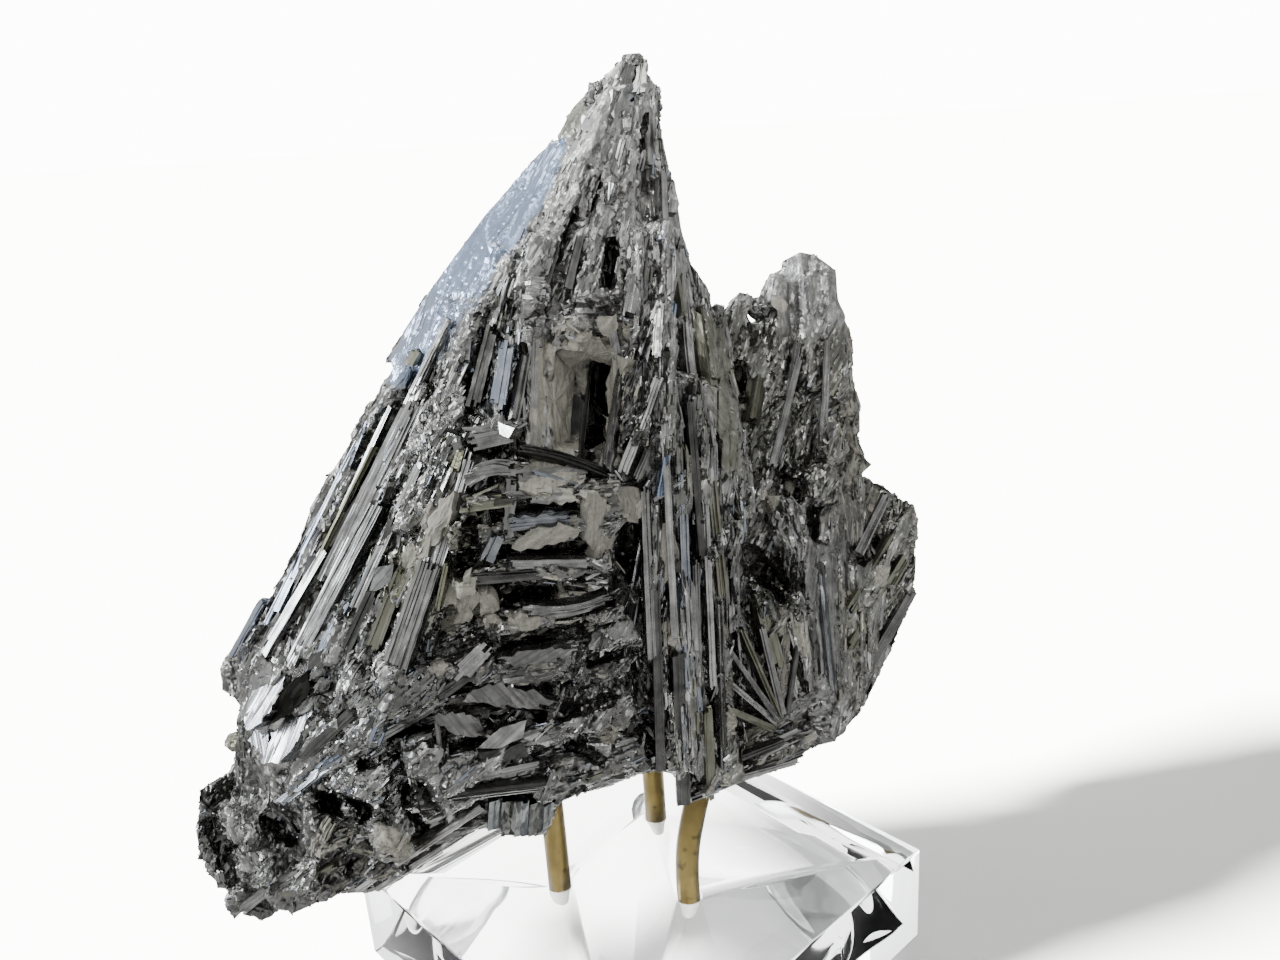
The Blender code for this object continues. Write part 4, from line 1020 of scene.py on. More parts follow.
@dataclass(frozen=True)
class Growth:
    """One size of crystal that grows over the body, with lengths in millimetres and turns in degrees.

    proud says how far its show face stands over the body at the least and most, and front how much thicker
    it grows on the show face.
    """

    name: str
    share: str
    count: int
    width: tuple[float, float]
    length: tuple[float, float]
    flatness: float
    proud: tuple[float, float]
    lift: float
    roll: float
    shapes: tuple[str, ...]
    seed: int
    most: int
    front: float = 1.6
    flake: float = 0.5


GROWTHS = (
    Growth("stibnite_laths", "laths", 1100, (0.8, 1.7), (8, 20), 0.7, (-0.15, 0.25), 0.6, 6, ("sheaf_wide",), 11, 1800),
    Growth("stibnite_blades", "blades", 6500, (0.4, 0.95), (3.5, 10), 0.8, (-0.1, 0.22), 1.2, 9, ("sheaf",), 12, 5300),
    Growth(
        "stibnite_splinters", "splinters", 15000, (0.2, 0.5), (1.2, 4.2), 0.8, (-0.08, 0.2), 3.5, 18,
        ("splinter", "shard"), 13, 16000, flake=0.7,
    ),
    Growth(
        "stibnite_grains", "grains", 17000, (0.2, 0.5), (0.35, 1.0), 0.8, (-0.05, 0.18), 25, 40, ("grain",), 14,
        13000, flake=0.8,
    ),
    Growth(
        "crust_beads", "patches", 60000, (0.2, 0.55), (0.2, 0.5), 0.9, (-0.05, 0.3), 40, 40, ("nodule",), 15, 3000,
    ),
)


class CrystalShapes:
    """Closed crystals one unit long, wide and thick, standing on z = 0 with their show side at +Y."""

    SHEAVES: dict[str, tuple[int, int, int]] = {  # shapes of each kind, strips in each, seed
        "sheaf_wide": (4, 6, 3),
        "sheaf": (6, 3, 4),
        "splinter": (3, 1, 5),
        "shard": (3, 1, 6),
        "grain": (4, 1, 7),
    }
    NODULES = 4

    def __init__(self) -> None:
        """Makes every shape once, out of sight of the render."""
        self.made: dict[str, list[bpy.types.Object]] = {}
        for name, (count, strips, seed) in self.SHEAVES.items():
            rng = np.random.default_rng(seed)
            self.made[name] = [self._sheaf(f"{name}_{number}", strips, rng) for number in range(count)]
        rng = np.random.default_rng(8)
        self.made["nodule"] = [self._nodule(f"nodule_{number}", rng) for number in range(self.NODULES)]

    def _nodule(self, name: str, rng: np.random.Generator) -> bpy.types.Object:
        """Makes a lumpy bead of crust, one unit across."""
        bm = bmesh.new()
        bmesh.ops.create_icosphere(bm, subdivisions=1, radius=0.5)
        for vert in bm.verts:
            vert.co *= rng.uniform(0.7, 1.25)
            vert.co.z += 0.5
        obj = mesh_object(f"shape_{name}", np.zeros((0, 3)), [])
        bm.to_mesh(obj.data)
        bm.free()
        return obj

    def _sheaf(self, name: str, strips: int, rng: np.random.Generator) -> bpy.types.Object:
        """Makes strips side by side, each with its own height, ends and slant.

        Args:
            name: The shape's name.
            strips: How many strips it has.
            rng: The source of chance.

        Returns:
            The shape.
        """
        points: list[Place] = []
        faces: list[tuple[int, ...]] = []
        walls = np.concatenate([[0], np.cumsum(rng.uniform(0.5, 1.5, strips))])
        walls = walls / walls[-1] - 0.5
        spread = 0.32 if strips > 1 else 0.1
        for left, right in zip(walls[:-1], walls[1:]):
            foot, tip = rng.uniform(0, spread), 1 - rng.uniform(0, spread)
            level = 0.5 - rng.uniform(0, 0.2) if strips > 1 else 0.5
            lean = rng.uniform(-0.1, 0.1)
            low = -0.5 + 0.25 * (strips == 1)
            narrow = rng.uniform(0.25, 0.8) if strips == 1 else 1.0
            slant = rng.uniform(0.02, 0.1, 4)
            first = len(points)
            middle = (left + right) / 2
            ring = ((left, level + lean), (right, level - lean), (right * 0.9, low), (left * 0.9, low))
            for z, scale, sign in ((foot, 1.0, 1), (tip, narrow, -1)):
                for (x, y), slope in zip(ring, slant):
                    shift = sign * slope * (1.6 if y > 0 else 0.2)
                    points.append((middle + (x - middle) * scale, y * (0.5 + scale / 2), z + shift))
            faces.append(tuple(first + i for i in (3, 2, 1, 0)))
            faces.append(tuple(first + 4 + i for i in range(4)))
            faces.extend((first + i, first + (i + 1) % 4, first + 4 + (i + 1) % 4, first + 4 + i) for i in range(4))
        obj = mesh_object(f"shape_{name}", np.array(points) / MM, faces)
        face_outwards(obj)
        return obj

    def collection(self, names: Sequence[str]) -> bpy.types.Collection:
        """Gathers some shapes for one modifier.

        Args:
            names: The shapes' names.

        Returns:
            A collection that isn't linked to the scene.
        """
        group = bpy.data.collections.new("_".join(names))
        for name in names:
            for obj in self.made[name]:
                group.objects.link(obj)
        return group

    def remove(self) -> None:
        """Deletes the shapes once everything has grown."""
        for shapes in self.made.values():
            for obj in shapes:
                bpy.data.objects.remove(obj, do_unlink=True)


def first_output(source: bpy.types.Node | bpy.types.NodeSocket) -> bpy.types.NodeSocket:
    """A socket as it is, or the first output of a node."""
    return source.outputs[0] if isinstance(source, bpy.types.Node) else source


def add_node(tree: bpy.types.NodeTree, kind: str, inputs: dict[Any, Any] | None = None, **settings: Any) -> Any:
    """Adds a node with its settings, values and links.

    Args:
        tree: The tree to add it to.
        kind: The node's type name.
        inputs: A value, or a socket or a node to link from, for each input by name or number. A node
            stands for its first output.
        **settings: The node's own properties.

    Returns:
        The node.
    """
    node = tree.nodes.new(kind)
    for key, value in settings.items():
        setattr(node, key, value)
    for key, value in (inputs or {}).items():
        if isinstance(value, (bpy.types.Node, bpy.types.NodeSocket)):
            tree.links.new(first_output(value), node.inputs[key])
        else:
            node.inputs[key].default_value = value
    return node


class CrystalGrower:
    """Grows one size of crystal over the body with Geometry Nodes."""

    LOOSE = 0.7  # the most that an end may stand off the body, in millimetres

    def __init__(self, body: CrystalBody, shapes: CrystalShapes, finish: bpy.types.Material) -> None:
        """Keeps what every growth needs.

        Args:
            body: The sculpted body.
            shapes: The crystals to choose from.
            finish: The material of all of them.
        """
        self.body = body
        self.shapes = shapes
        self.finish = finish
        self.tree = self._tree()

    def _tree(self) -> bpy.types.NodeTree:
        """The node tree: crystals on points, turned and sized by the points' attributes."""
        tree = bpy.data.node_groups.new("grow_crystals", "GeometryNodeTree")
        node = partial(add_node, tree)
        inputs = {
            "Geometry": "Geometry", "Shapes": "Collection", "Finish": "Material", "Thickness": "Float", "Seed": "Int",
        }
        for name, kind in inputs.items():
            tree.interface.new_socket(name, in_out="INPUT", socket_type=f"NodeSocket{kind}")
        tree.interface.new_socket("Geometry", in_out="OUTPUT", socket_type="NodeSocketGeometry")
        source = node("NodeGroupInput")
        shapes = node(
            "GeometryNodeCollectionInfo",
            {"Collection": source.outputs["Shapes"], "Separate Children": True, "Reset Children": True},
        )
        axis, show, size = (
            node("GeometryNodeInputNamedAttribute", {"Name": name}, data_type="FLOAT_VECTOR")
            for name in ("axis", "show", "size")
        )
        turn = node("FunctionNodeAxesToRotation", {0: axis, 1: show}, primary_axis="Z", secondary_axis="Y")
        thick = node("ShaderNodeCombineXYZ", {"X": 1.0, "Y": source.outputs["Thickness"], "Z": 1.0})
        scale = node("ShaderNodeVectorMath", {0: size, 1: thick}, operation="MULTIPLY")
        pick = node(
            "FunctionNodeRandomValue", {"Min": 0, "Max": 99, "Seed": source.outputs["Seed"]}, data_type="INT"
        )
        grown = node(
            "GeometryNodeInstanceOnPoints",
            {
                "Points": source.outputs["Geometry"], "Instance": shapes, "Pick Instance": True,
                "Instance Index": [s for s in pick.outputs if s.type == "INT"][0],
                "Rotation": turn, "Scale": scale,
            },
        )
        real = node("GeometryNodeRealizeInstances", {"Geometry": grown})
        coated = node("GeometryNodeSetMaterial", {"Geometry": real, "Material": source.outputs["Finish"]})
        node("NodeGroupOutput", {0: coated})
        return tree

    def _spots(self, growth: Growth, rng: np.random.Generator) -> tuple[Array, Array]:
        """Picks spots over the body, closer together where the habit asks for it.

        Args:
            growth: The size of crystal.
            rng: The source of chance.

        Returns:
            Points and smoothed normals.
        """
        body = self.body
        triangles = triangles_of(body.obj.data)
        corners = body.points[triangles]
        area = np.linalg.norm(np.cross(corners[:, 1] - corners[:, 0], corners[:, 2] - corners[:, 0]), axis=1)
        middle = corners.mean(axis=1)
        _, shares = body.field.sample(middle, unit(body.normals[triangles].sum(axis=1)))
        facing = -np.sum(unit(middle - np.array(SIGHT.stand)) * body.normals[triangles[:, 0]], axis=1)
        chance = area * shares[growth.share] * np.where(facing > 0, growth.front, 1.0)
        even = area * np.where(facing > 0, growth.front, 1.0)
        count = min(int(growth.count * chance.sum() / even.sum()), growth.most)
        picked = rng.choice(len(triangles), count, p=chance / chance.sum())
        blend = rng.dirichlet((1, 1, 1), count)[:, :, None]
        points = (corners[picked] * blend).sum(axis=1)
        normals = unit((body.normals[triangles[picked]] * blend).sum(axis=1))
        return points, normals

    def _frames(self, growth: Growth, rng: np.random.Generator) -> dict[str, Array]:
        """Works out the place, turn, size and marks of every crystal of one growth."""
        points, normals = self._spots(growth, rng)
        domain = self.body.domain_of(points)
        heading = self.body.middle_axes[domain]
        _, shares = self.body.field.sample(points, normals)
        count = len(points)
        heading = unit(heading - normals * np.sum(heading * normals, axis=1, keepdims=True))
        swing = np.radians(shares["wander"] * 0.35 * rng.normal(0, 1, count))
        side = unit(np.cross(heading, normals))
        axis = heading * np.cos(swing)[:, None] + side * np.sin(swing)[:, None]
        lift = np.radians(growth.lift * rng.normal(0.3, 1.0, count))
        axis = unit(axis * np.cos(lift)[:, None] + normals * np.sin(lift)[:, None])
        roll = np.radians(growth.roll * rng.normal(0, 1, count))
        side = unit(np.cross(axis, normals))
        show = unit(normals * np.cos(roll)[:, None] + side * np.sin(roll)[:, None])
        narrow, wide = growth.width
        short, long = growth.length
        width = narrow + (wide - narrow) * rng.power(0.7, count)
        length = np.maximum(short + (long - short) * rng.power(0.6, count), width) * shares["stature"]
        thick = width * growth.flatness * rng.uniform(0.8, 1.3, count)
        sunk = rng.uniform(*growth.proud, count) * np.sqrt(shares["relief"]) - thick / 2
        foot = points - axis * (length * rng.uniform(0.35, 0.65, count))[:, None] + normals * sunk[:, None]
        bundle = self.body.middle_lift[domain]
        rough = lattice_noise(points / 2.2, 31) * 0.35 + rng.uniform(-0.2, 0.2, count)
        tinted = rng.uniform(0, 1, (2, count))
        return {
            "place": foot, "axis": axis, "show": show,
            "size": np.stack([width, thick, length], axis=1),
            "shade": np.clip(shares["tone"] + 0.1 + bundle * 0.2 + rng.normal(0, 0.14, count), 0, 1.5),
            "crust": np.clip(shares["crust"] + rough * smoothstep(0.03, 0.3, shares["crust"]), 0, 1),
            "blue": smoothstep(-0.2, 0.3, shares["blue"] * 1.1 - tinted[0]) * 0.6,
            "gold": smoothstep(-0.2, 0.3, shares["gold"] * 1.1 - tinted[1]) * 0.7,
            "gloss": np.clip(shares["gloss"] + rng.normal(0, 0.2, count), 0, 1),
            "flake": np.full(count, growth.flake),
        }

    def _kept(self, crystals: dict[str, Array]) -> Array:
        """Which crystals lie on the body, bridge no hollow and stay in the outline and the CAD box."""
        keep = np.ones(len(crystals["place"]), bool)
        low, high = (np.array(corner) / MM for corner in CAD_BOUNDS)
        reach = crystals["axis"] * crystals["size"][:, 2:]
        for share in (0.0, 0.35, 0.7, 1.0):
            spot = crystals["place"] + reach * share
            pixels, _ = SIGHT.project(spot)
            keep &= outline_distance(pixels)[0] < 2.0
            keep &= np.all((spot > low - 0.4) & (spot < high + 0.4), axis=1)
            facing = np.sum(crystals["show"] * unit(spot - np.array(SIGHT.stand)), axis=1) < 0.1
            keep &= ~(facing & (hollow_depth(pixels) > 0.8))
            for pane in PANES:
                keep &= ~(facing & (pane.share(spot, pixels) > 0.6))
        for share in (0.0, 1.0):
            rows = np.nonzero(keep)[0]
            keep[rows] = self.body.stand_off((crystals["place"] + reach * share)[rows]) < self.LOOSE
        return keep

    def grow(self, growth: Growth) -> bpy.types.Object:
        """Grows one size of crystal.

        Args:
            growth: Its sizes and counts.

        Returns:
            The joined mesh of all its crystals.
        """
        rng = np.random.default_rng(growth.seed)
        crystals = self._frames(growth, rng)
        keep = self._kept(crystals)
        obj = mesh_object(growth.name, crystals["place"][keep], [])
        for mark in (*MARKS, "axis", "show"):
            store(obj.data, mark, crystals[mark][keep])
        store(obj.data, "size", crystals["size"][keep] * MM)
        modifier = obj.modifiers.new("grow", "NODES")
        modifier.node_group = self.tree
        values = {
            "Shapes": self.shapes.collection(growth.shapes), "Finish": self.finish,
            "Thickness": 1.0, "Seed": growth.seed,
        }
        for item in self.tree.interface.items_tree:
            if item.in_out == "INPUT" and item.name in values:
                modifier[item.identifier] = values[item.name]
        grown = evaluated(obj)
        obj.modifiers.remove(modifier)
        obj.data = grown
        return obj


# ---------------------------------------------------------------- the main crystals, one by one


@dataclass(frozen=True)
class Look:
    """A crystal's own shares of finish, from 0 to 1."""

    shade: float = 0.55
    crust: float = 0.0
    blue: float = 0.0
    gold: float = 0.0
    gloss: float = 0.6
    flake: float = 0.15


MIRROR = Look(shade=1.0, gloss=1.0, flake=0.05)
BRIGHT = Look(shade=0.9, gloss=0.8)
GREY = Look()
DARK = Look(shade=0.1, gloss=0.45)
LAVENDER = Look(shade=0.8, blue=0.45, gloss=0.8)
BLUE = Look(shade=0.8, blue=0.8, gloss=0.8)
OLIVE = Look(shade=0.35, gold=0.3, gloss=0.4)
PALE = Look(shade=0.6, crust=0.36, gloss=0.3)
CRUSTED = Look(shade=0.6, crust=0.8, gloss=0.2)
RIM = Look(shade=0.3, crust=0.6, gloss=0.2)
SHADOWY = Look(shade=0.0, gloss=0.1)
# BLOCK and BLOCK_DARK are painted shade: their colour runs darker than any fresh or worn face, so that the keel's
# underside and a dark cleavage face read as shaded although the bright floor and window light them.
BLOCK = Look(shade=-0.1, blue=0.05, gloss=0.35, flake=0.8)
BLOCK_DARK = Look(shade=-0.2, gloss=0.2, flake=0.8)
SHEET = Look(shade=0.3, crust=0.25, gloss=0.25, flake=0.6)


@dataclass(frozen=True)
class Crystal:
    """A crystal from its foot to its tip in pixels, with widths and heights in millimetres.

    proud is how far its show face stands out at foot and tip, roll turns it about its length in degrees,
    bend bows it sideways, jag and ragged say how uneven its ends and sides are, in widths, and flash how
    far it turns to the window.
    """

    foot: Pixel
    tip: Pixel
    width: float
    look: Look = GREY
    proud: tuple[float, float] = (0.5, 0.7)
    roll: float = 0.0
    strips: int = 5
    step: float = 0.14
    bend: float = 0.0
    narrow: float = 0.85
    jag: float = 0.7
    ragged: float = 0.02
    flash: float = 0.0


@dataclass(frozen=True)
class Facet:
    """A broken flat face: its corners in pixels, how proud it stands and how far it turns to the window."""

    corners: tuple[Pixel, ...]
    look: Look = MIRROR
    proud: float = 0.5
    flash: float = 0.0
    thick: float = 1.4
    ragged: float = 0.6  # pixels


@dataclass(frozen=True)
class Lump:
    """A rounded knob: its middle in pixels, half its width in millimetres and how deep it sits."""

    at: Pixel
    radius: float
    look: Look = CRUSTED
    proud: float = 0.2


CRYSTALS: tuple[Crystal, ...] = (
    # The long prisms of the left flank.
    Crystal((340, 512), (390, 405), 0.8, MIRROR, (1.4, 1.4), 6, 2, 0.03, jag=0.3, flash=0.9),
    Crystal((262, 655), (325, 548), 1.5, MIRROR, (1.4, 1.4), 6, 2, 0.03, jag=0.4, flash=0.9),
    Crystal((275, 612), (342, 474), 1.1, LAVENDER, (1.2, 1.2), 14, 3, flash=0.35),
    Crystal((264, 626), (366, 424), 0.7, LAVENDER, (0.8, 0.8), -6, 3, flash=0.4),
    Crystal((292, 612), (375, 446), 0.5, Look(0.4, gold=0.4), (1.2, 1.3), 14, 2),
    Crystal((322, 590), (412, 402), 2.4, GREY, (1.1, 1.0), 16, 6, 0.08),
    Crystal((288, 668), (352, 540), 1.3, BRIGHT, (0.7, 0.8), 12, 4, flash=0.3),
    Crystal((326, 548), (372, 478), 0.9, SHADOWY, (0.7, 0.7), 20, 3),
    Crystal((300, 650), (378, 500), 1.9, GREY, (1.2, 1.1), 14, 6),
    Crystal((300, 690), (348, 600), 1.3, LAVENDER, (0.6, 0.8), -4, 3),
    Crystal((352, 612), (420, 462), 1.2, GREY, (0.7, 0.7), 18, 4),
    Crystal((336, 668), (372, 590), 1.4, DARK, (0.6, 0.8), 10, 4),
    Crystal((228, 660), (262, 600), 1.2, LAVENDER, (0.2, 0.5), -10, 3),
    Crystal((402, 412), (450, 316), 1.3, BRIGHT, (0.5, 0.6), 6, 4, ragged=0.05, flash=0.4),
    Crystal((386, 408), (418, 346), 1.6, OLIVE, (0.7, 0.5), 12, 4),
    Crystal((366, 576), (430, 440), 0.8, GREY, (0.6, 0.7), 10, 2),
    # Between the flank and the vug.
    Crystal((472, 408), (493, 324), 1.5, DARK, (0.8, 0.9), 10, 4),
    Crystal((489, 328), (506, 276), 1.3, GREY, (0.5, 0.6), 0, 4, ragged=0.06),
    Crystal((420, 494), (454, 428), 1.3, GREY, (0.7, 0.8), 0, 5),
    Crystal((440, 492), (466, 430), 0.7, MIRROR, (0.8, 0.8), -10, 3, flash=0.5),
    Crystal((453, 474), (461, 448), 0.9, Look(0.5, gold=0.5), (0.7, 0.7), 0, 3),
    Crystal((496, 411), (508, 338), 1.7, Look(0.8, blue=0.4, gloss=0.8), (1.0, 1.3), -6, 4, 0.1),
    Crystal((514, 424), (527, 352), 1.0, GREY, (0.7, 0.9), 8, 3),
    Crystal((532, 462), (536, 340), 0.9, Look(0.8, crust=0.3, gloss=0.4), (0.3, 0.5), -30, 2),
    Crystal((603, 474), (620, 366), 1.2, GREY, (0.3, 0.5), 12, 4, 0.3, jag=1.2, ragged=0.2),
    Crystal((517, 446), (612, 474), 1.2, DARK, (0.5, 0.6), 0, 5, bend=-0.5),
    Crystal((462, 436), (528, 416), 1.8, GREY, (0.5, 0.9), 0, 7, bend=0.4),
    Crystal((470, 446), (516, 436), 1.2, GREY, (0.6, 1.0), 10, 5),
    # The shelves under the vug.
    Crystal((514, 476), (588, 472), 1.8, GREY, (0.8, 0.7), 24, 4, ragged=0.15),
    Crystal((524, 497), (582, 496), 1.5, PALE, (0.9, 0.8), 20, 4, ragged=0.15),
    Crystal((505, 525), (576, 519), 1.8, Look(0.45, blue=0.15, gloss=0.5), (1.0, 1.1), 16, 5, ragged=0.12),
    Crystal((514, 541), (576, 536), 1.5, GREY, (0.8, 0.8), 22, 4, ragged=0.15),
    Crystal((506, 566), (590, 563), 1.6, GREY, (0.8, 0.9), 14, 5),
    Crystal((470, 580), (560, 574), 1.4, DARK, (0.6, 0.8), 10, 5),
    Crystal((520, 612), (612, 598), 1.8, GREY, (0.9, 0.9), 18, 6, bend=0.8),
    Crystal((458, 506), (512, 500), 1.5, OLIVE, (0.7, 0.9), 16, 4),
    Crystal((462, 480), (520, 468), 1.8, GREY, (0.8, 1.1), 10, 6, bend=-0.6),
    Crystal((508, 538), (512, 478), 1.2, GREY, (1.2, 1.4), 0, 3, ragged=0.1),
    Crystal((486, 562), (500, 532), 1.6, Look(0.6, blue=0.15), (0.9, 1.2), 0, 4),
    Crystal((600, 560), (602, 480), 1.1, PALE, (0.7, 0.8), 0, 3),
    # The ribbed blades left of the shelves.
    Crystal((392, 672), (430, 560), 2.9, GREY, (1.0, 1.1), 0, 11, 0.16, jag=0.5),
    Crystal((424, 596), (470, 446), 2.2, GREY, (0.8, 1.0), 4, 7, 0.16),
    Crystal((437, 610), (447, 562), 0.6, Look(0.5, gold=0.5), (1.2, 1.2), 0, 3),
    Crystal((372, 650), (404, 566), 1.6, OLIVE, (0.6, 0.8), 12, 6),
    Crystal((455, 680), (490, 644), 1.9, MIRROR, (1.0, 1.2), -6, 6, 0.16),
    Crystal((402, 716), (470, 674), 1.6, DARK, (0.3, 0.4), 0, 7, bend=0.3),
    Crystal((372, 742), (446, 700), 1.2, GREY, (0.6, 0.7), 8, 5),
    Crystal((372, 748), (408, 664), 1.4, Look(0.7, blue=0.6, gloss=0.9, flake=0.8), (0.5, 0.6), 0, 4),
    # The upper right, beside the vug.
    Crystal((622, 474), (660, 374), 1.2, BRIGHT, (0.8, 1.0), -6, 5, 0.18, ragged=0.06, flash=0.25),
    Crystal((636, 484), (674, 392), 1.2, GREY, (0.7, 0.9), 6, 5),
    Crystal((660, 498), (668, 452), 0.8, BLUE, (1.0, 1.0), 0, 2),
    Crystal((669, 354), (675, 298), 1.0, Look(0.6, blue=0.6, gloss=0.8), (0.9, 1.0), -6, 3, flash=0.2),
    Crystal((656, 358), (660, 302), 1.1, MIRROR, (1.0, 1.1), -4, 3, ragged=0.08, flash=0.6),
    Crystal((738, 476), (702, 300), 2.8, OLIVE, (0.6, 0.7), 4, 3, 0.06, bend=-1.2),
    Crystal((716, 470), (688, 320), 1.6, GREY, (0.5, 0.6), -8, 4, bend=-0.8),
    Crystal((624, 92), (634, 49), 1.5, GREY, (0.1, 0.0), 10, 3, ragged=0.12, narrow=0.6),
    Crystal((638, 96), (643, 55), 1.3, GREY, (0.1, 0.0), -10, 3, ragged=0.12, narrow=0.6),
    Crystal((610, 96), (622, 60), 1.3, BRIGHT, (0.1, 0.0), 10, 3, ragged=0.12, narrow=0.7),
    Crystal((590, 104), (594, 78), 1.3, GREY, (0.1, 0.0), 10, 3, ragged=0.15, narrow=0.7),
    Crystal((668, 282), (664, 164), 0.7, MIRROR, (0.2, 0.2), 8, 3, flash=0.4),
    Crystal((684, 320), (672, 236), 1.4, OLIVE, (0.3, 0.2), 12, 3),
    Crystal((628, 318), (644, 232), 1.3, GREY, (0.6, 0.6), 0, 4),
    Crystal((536, 318), (556, 246), 1.0, DARK, (0.4, 0.4), 4, 3),
    Crystal((568, 290), (582, 232), 0.9, GREY, (0.3, 0.4), 6, 3),
    # The columns.
    Crystal((652, 660), (644, 486), 1.1, GREY, (0.7, 0.9), 0, 4),
    Crystal((661, 772), (655, 560), 1.2, DARK, (0.8, 0.9), -8, 4),
    Crystal((675, 640), (664, 420), 0.8, BRIGHT, (0.9, 1.0), 6, 3, ragged=0.06, flash=0.3),
    Crystal((684, 806), (680, 654), 1.7, DARK, (1.2, 1.2), 0, 3, 0.06, narrow=1.0, jag=0.2),
    Crystal((690, 690), (682, 470), 1.2, Look(0.6, blue=0.25, gloss=0.7), (1.1, 1.1), -4, 4),
    Crystal((702, 780), (696, 560), 1.0, GREY, (0.9, 0.9), 10, 4),
    Crystal((704, 560), (690, 400), 1.3, DARK, (0.7, 0.9), 4, 4),
    Crystal((714, 690), (706, 500), 0.9, BRIGHT, (1.0, 1.0), 0, 4, ragged=0.06, flash=0.2),
    Crystal((724, 600), (708, 440), 1.3, OLIVE, (0.8, 0.8), -6, 5),
    Crystal((727, 776), (721, 600), 1.3, GREY, (0.9, 1.1), 6, 4),
    Crystal((741, 740), (730, 570), 1.1, DARK, (0.5, 0.7), 12, 4),
    Crystal((712, 800), (708, 706), 1.4, OLIVE, (0.8, 0.9), 0, 5),
    Crystal((704, 520), (767, 478), 1.1, GREY, (1.2, 1.0), 0, 3),
    # The lower middle and the keel.
    Crystal((495, 830), (496, 800), 1.7, BLOCK, (0.7, 0.9), 10, 3, 0.12, narrow=0.9, jag=0.12),
    Crystal((508, 836), (509, 801), 1.7, BLOCK_DARK, (0.9, 1.0), -6, 3, 0.12, narrow=1.0, jag=0.12),
    Crystal((521, 837), (523, 802), 1.8, BLOCK, (0.9, 1.1), 4, 4, 0.12, narrow=0.9, jag=0.1),
    Crystal((535, 835), (537, 803), 1.7, BLOCK_DARK, (0.8, 1.0), 12, 3, 0.12, narrow=1.0, jag=0.12),
    Crystal((547, 828), (549, 804), 1.4, BLOCK, (0.6, 0.8), 20, 3, 0.12, narrow=0.9, jag=0.12),
    Crystal((474, 778), (540, 764), 0.8, MIRROR, (1.9, 1.9), 4, 3, flash=0.5),
    Crystal((446, 800), (548, 788), 1.6, DARK, (1.7, 1.7), 10, 5),
    Crystal((358, 893), (487, 806), 1.5, BRIGHT, (0.3, 0.6), 16, 4),
    Crystal((376, 892), (470, 832), 1.0, GREY, (-0.2, 0.0), 24, 3),
    Crystal((500, 668), (580, 646), 1.4, GREY, (0.2, 0.4), 10, 7, bend=-0.4),
    Crystal((300, 760), (352, 712), 1.4, DARK, (0.5, 0.7), 0, 5),
    Crystal((240, 912), (300, 872), 1.3, GREY, (0.0, 0.2), 8, 6, bend=-0.3),
    Crystal((270, 902), (336, 866), 1.0, OLIVE, (0.0, 0.2), 0, 5),
    # The rear mass.
    Crystal((754, 428), (763, 376), 2.2, OLIVE, (0.6, 0.7), -6, 3, 0.06),
    Crystal((772, 468), (800, 356), 0.9, GREY, (0.5, 0.7), 6, 3),
    Crystal((822, 450), (828, 340), 0.9, GREY, (0.1, 0.2), -6, 3, ragged=0.1),
    Crystal((788, 400), (800, 330), 1.0, DARK, (0.2, 0.3), 0, 4, ragged=0.1),
    Crystal((780, 674), (760, 596), 2.3, OLIVE, (0.7, 1.0), 8, 4, 0.08),
    Crystal(
        (836, 690), (822, 560), 1.6, Look(0.4, blue=0.1, gloss=0.3, flake=0.4), (0.1, 0.1), 30, 3, ragged=0.15,
    ),
    Crystal((690, 799), (806, 752), 1.1, GREY, (0.8, 0.9), 10, 4),
    Crystal((700, 790), (800, 762), 0.9, BRIGHT, (1.0, 0.8), 0, 4, ragged=0.06),
    Crystal((696, 778), (786, 742), 1.0, DARK, (0.8, 0.9), 4, 4),
    Crystal((780, 722), (722, 640), 0.9, GREY, (0.8, 0.8), 0, 3),
    Crystal((782, 720), (742, 628), 0.8, OLIVE, (0.9, 0.9), 8, 3),
    Crystal((784, 718), (762, 626), 1.0, GREY, (1.1, 0.9), -6, 4),
    Crystal((788, 716), (800, 634), 0.8, DARK, (0.8, 0.8), 0, 3),
    Crystal((778, 724), (718, 672), 0.9, BRIGHT, (0.8, 0.8), 0, 3),
    Crystal((776, 730), (726, 708), 0.9, OLIVE, (0.8, 0.7), 0, 3),
    # The lobe at the far right.
    Crystal((850, 652), (908, 556), 2.1, OLIVE, (0.5, 0.7), 0, 4, 0.1),
    Crystal((866, 676), (914, 590), 1.7, GREY, (0.4, 0.4), -6, 4, 0.1),
    Crystal((850, 612), (896, 536), 1.8, OLIVE, (0.6, 0.8), 8, 4, 0.1),
    Crystal((858, 556), (888, 494), 1.4, GREY, (0.4, 0.5), 0, 4),
    Crystal((882, 560), (908, 512), 1.2, DARK, (0.4, 0.3), 6, 4),
)
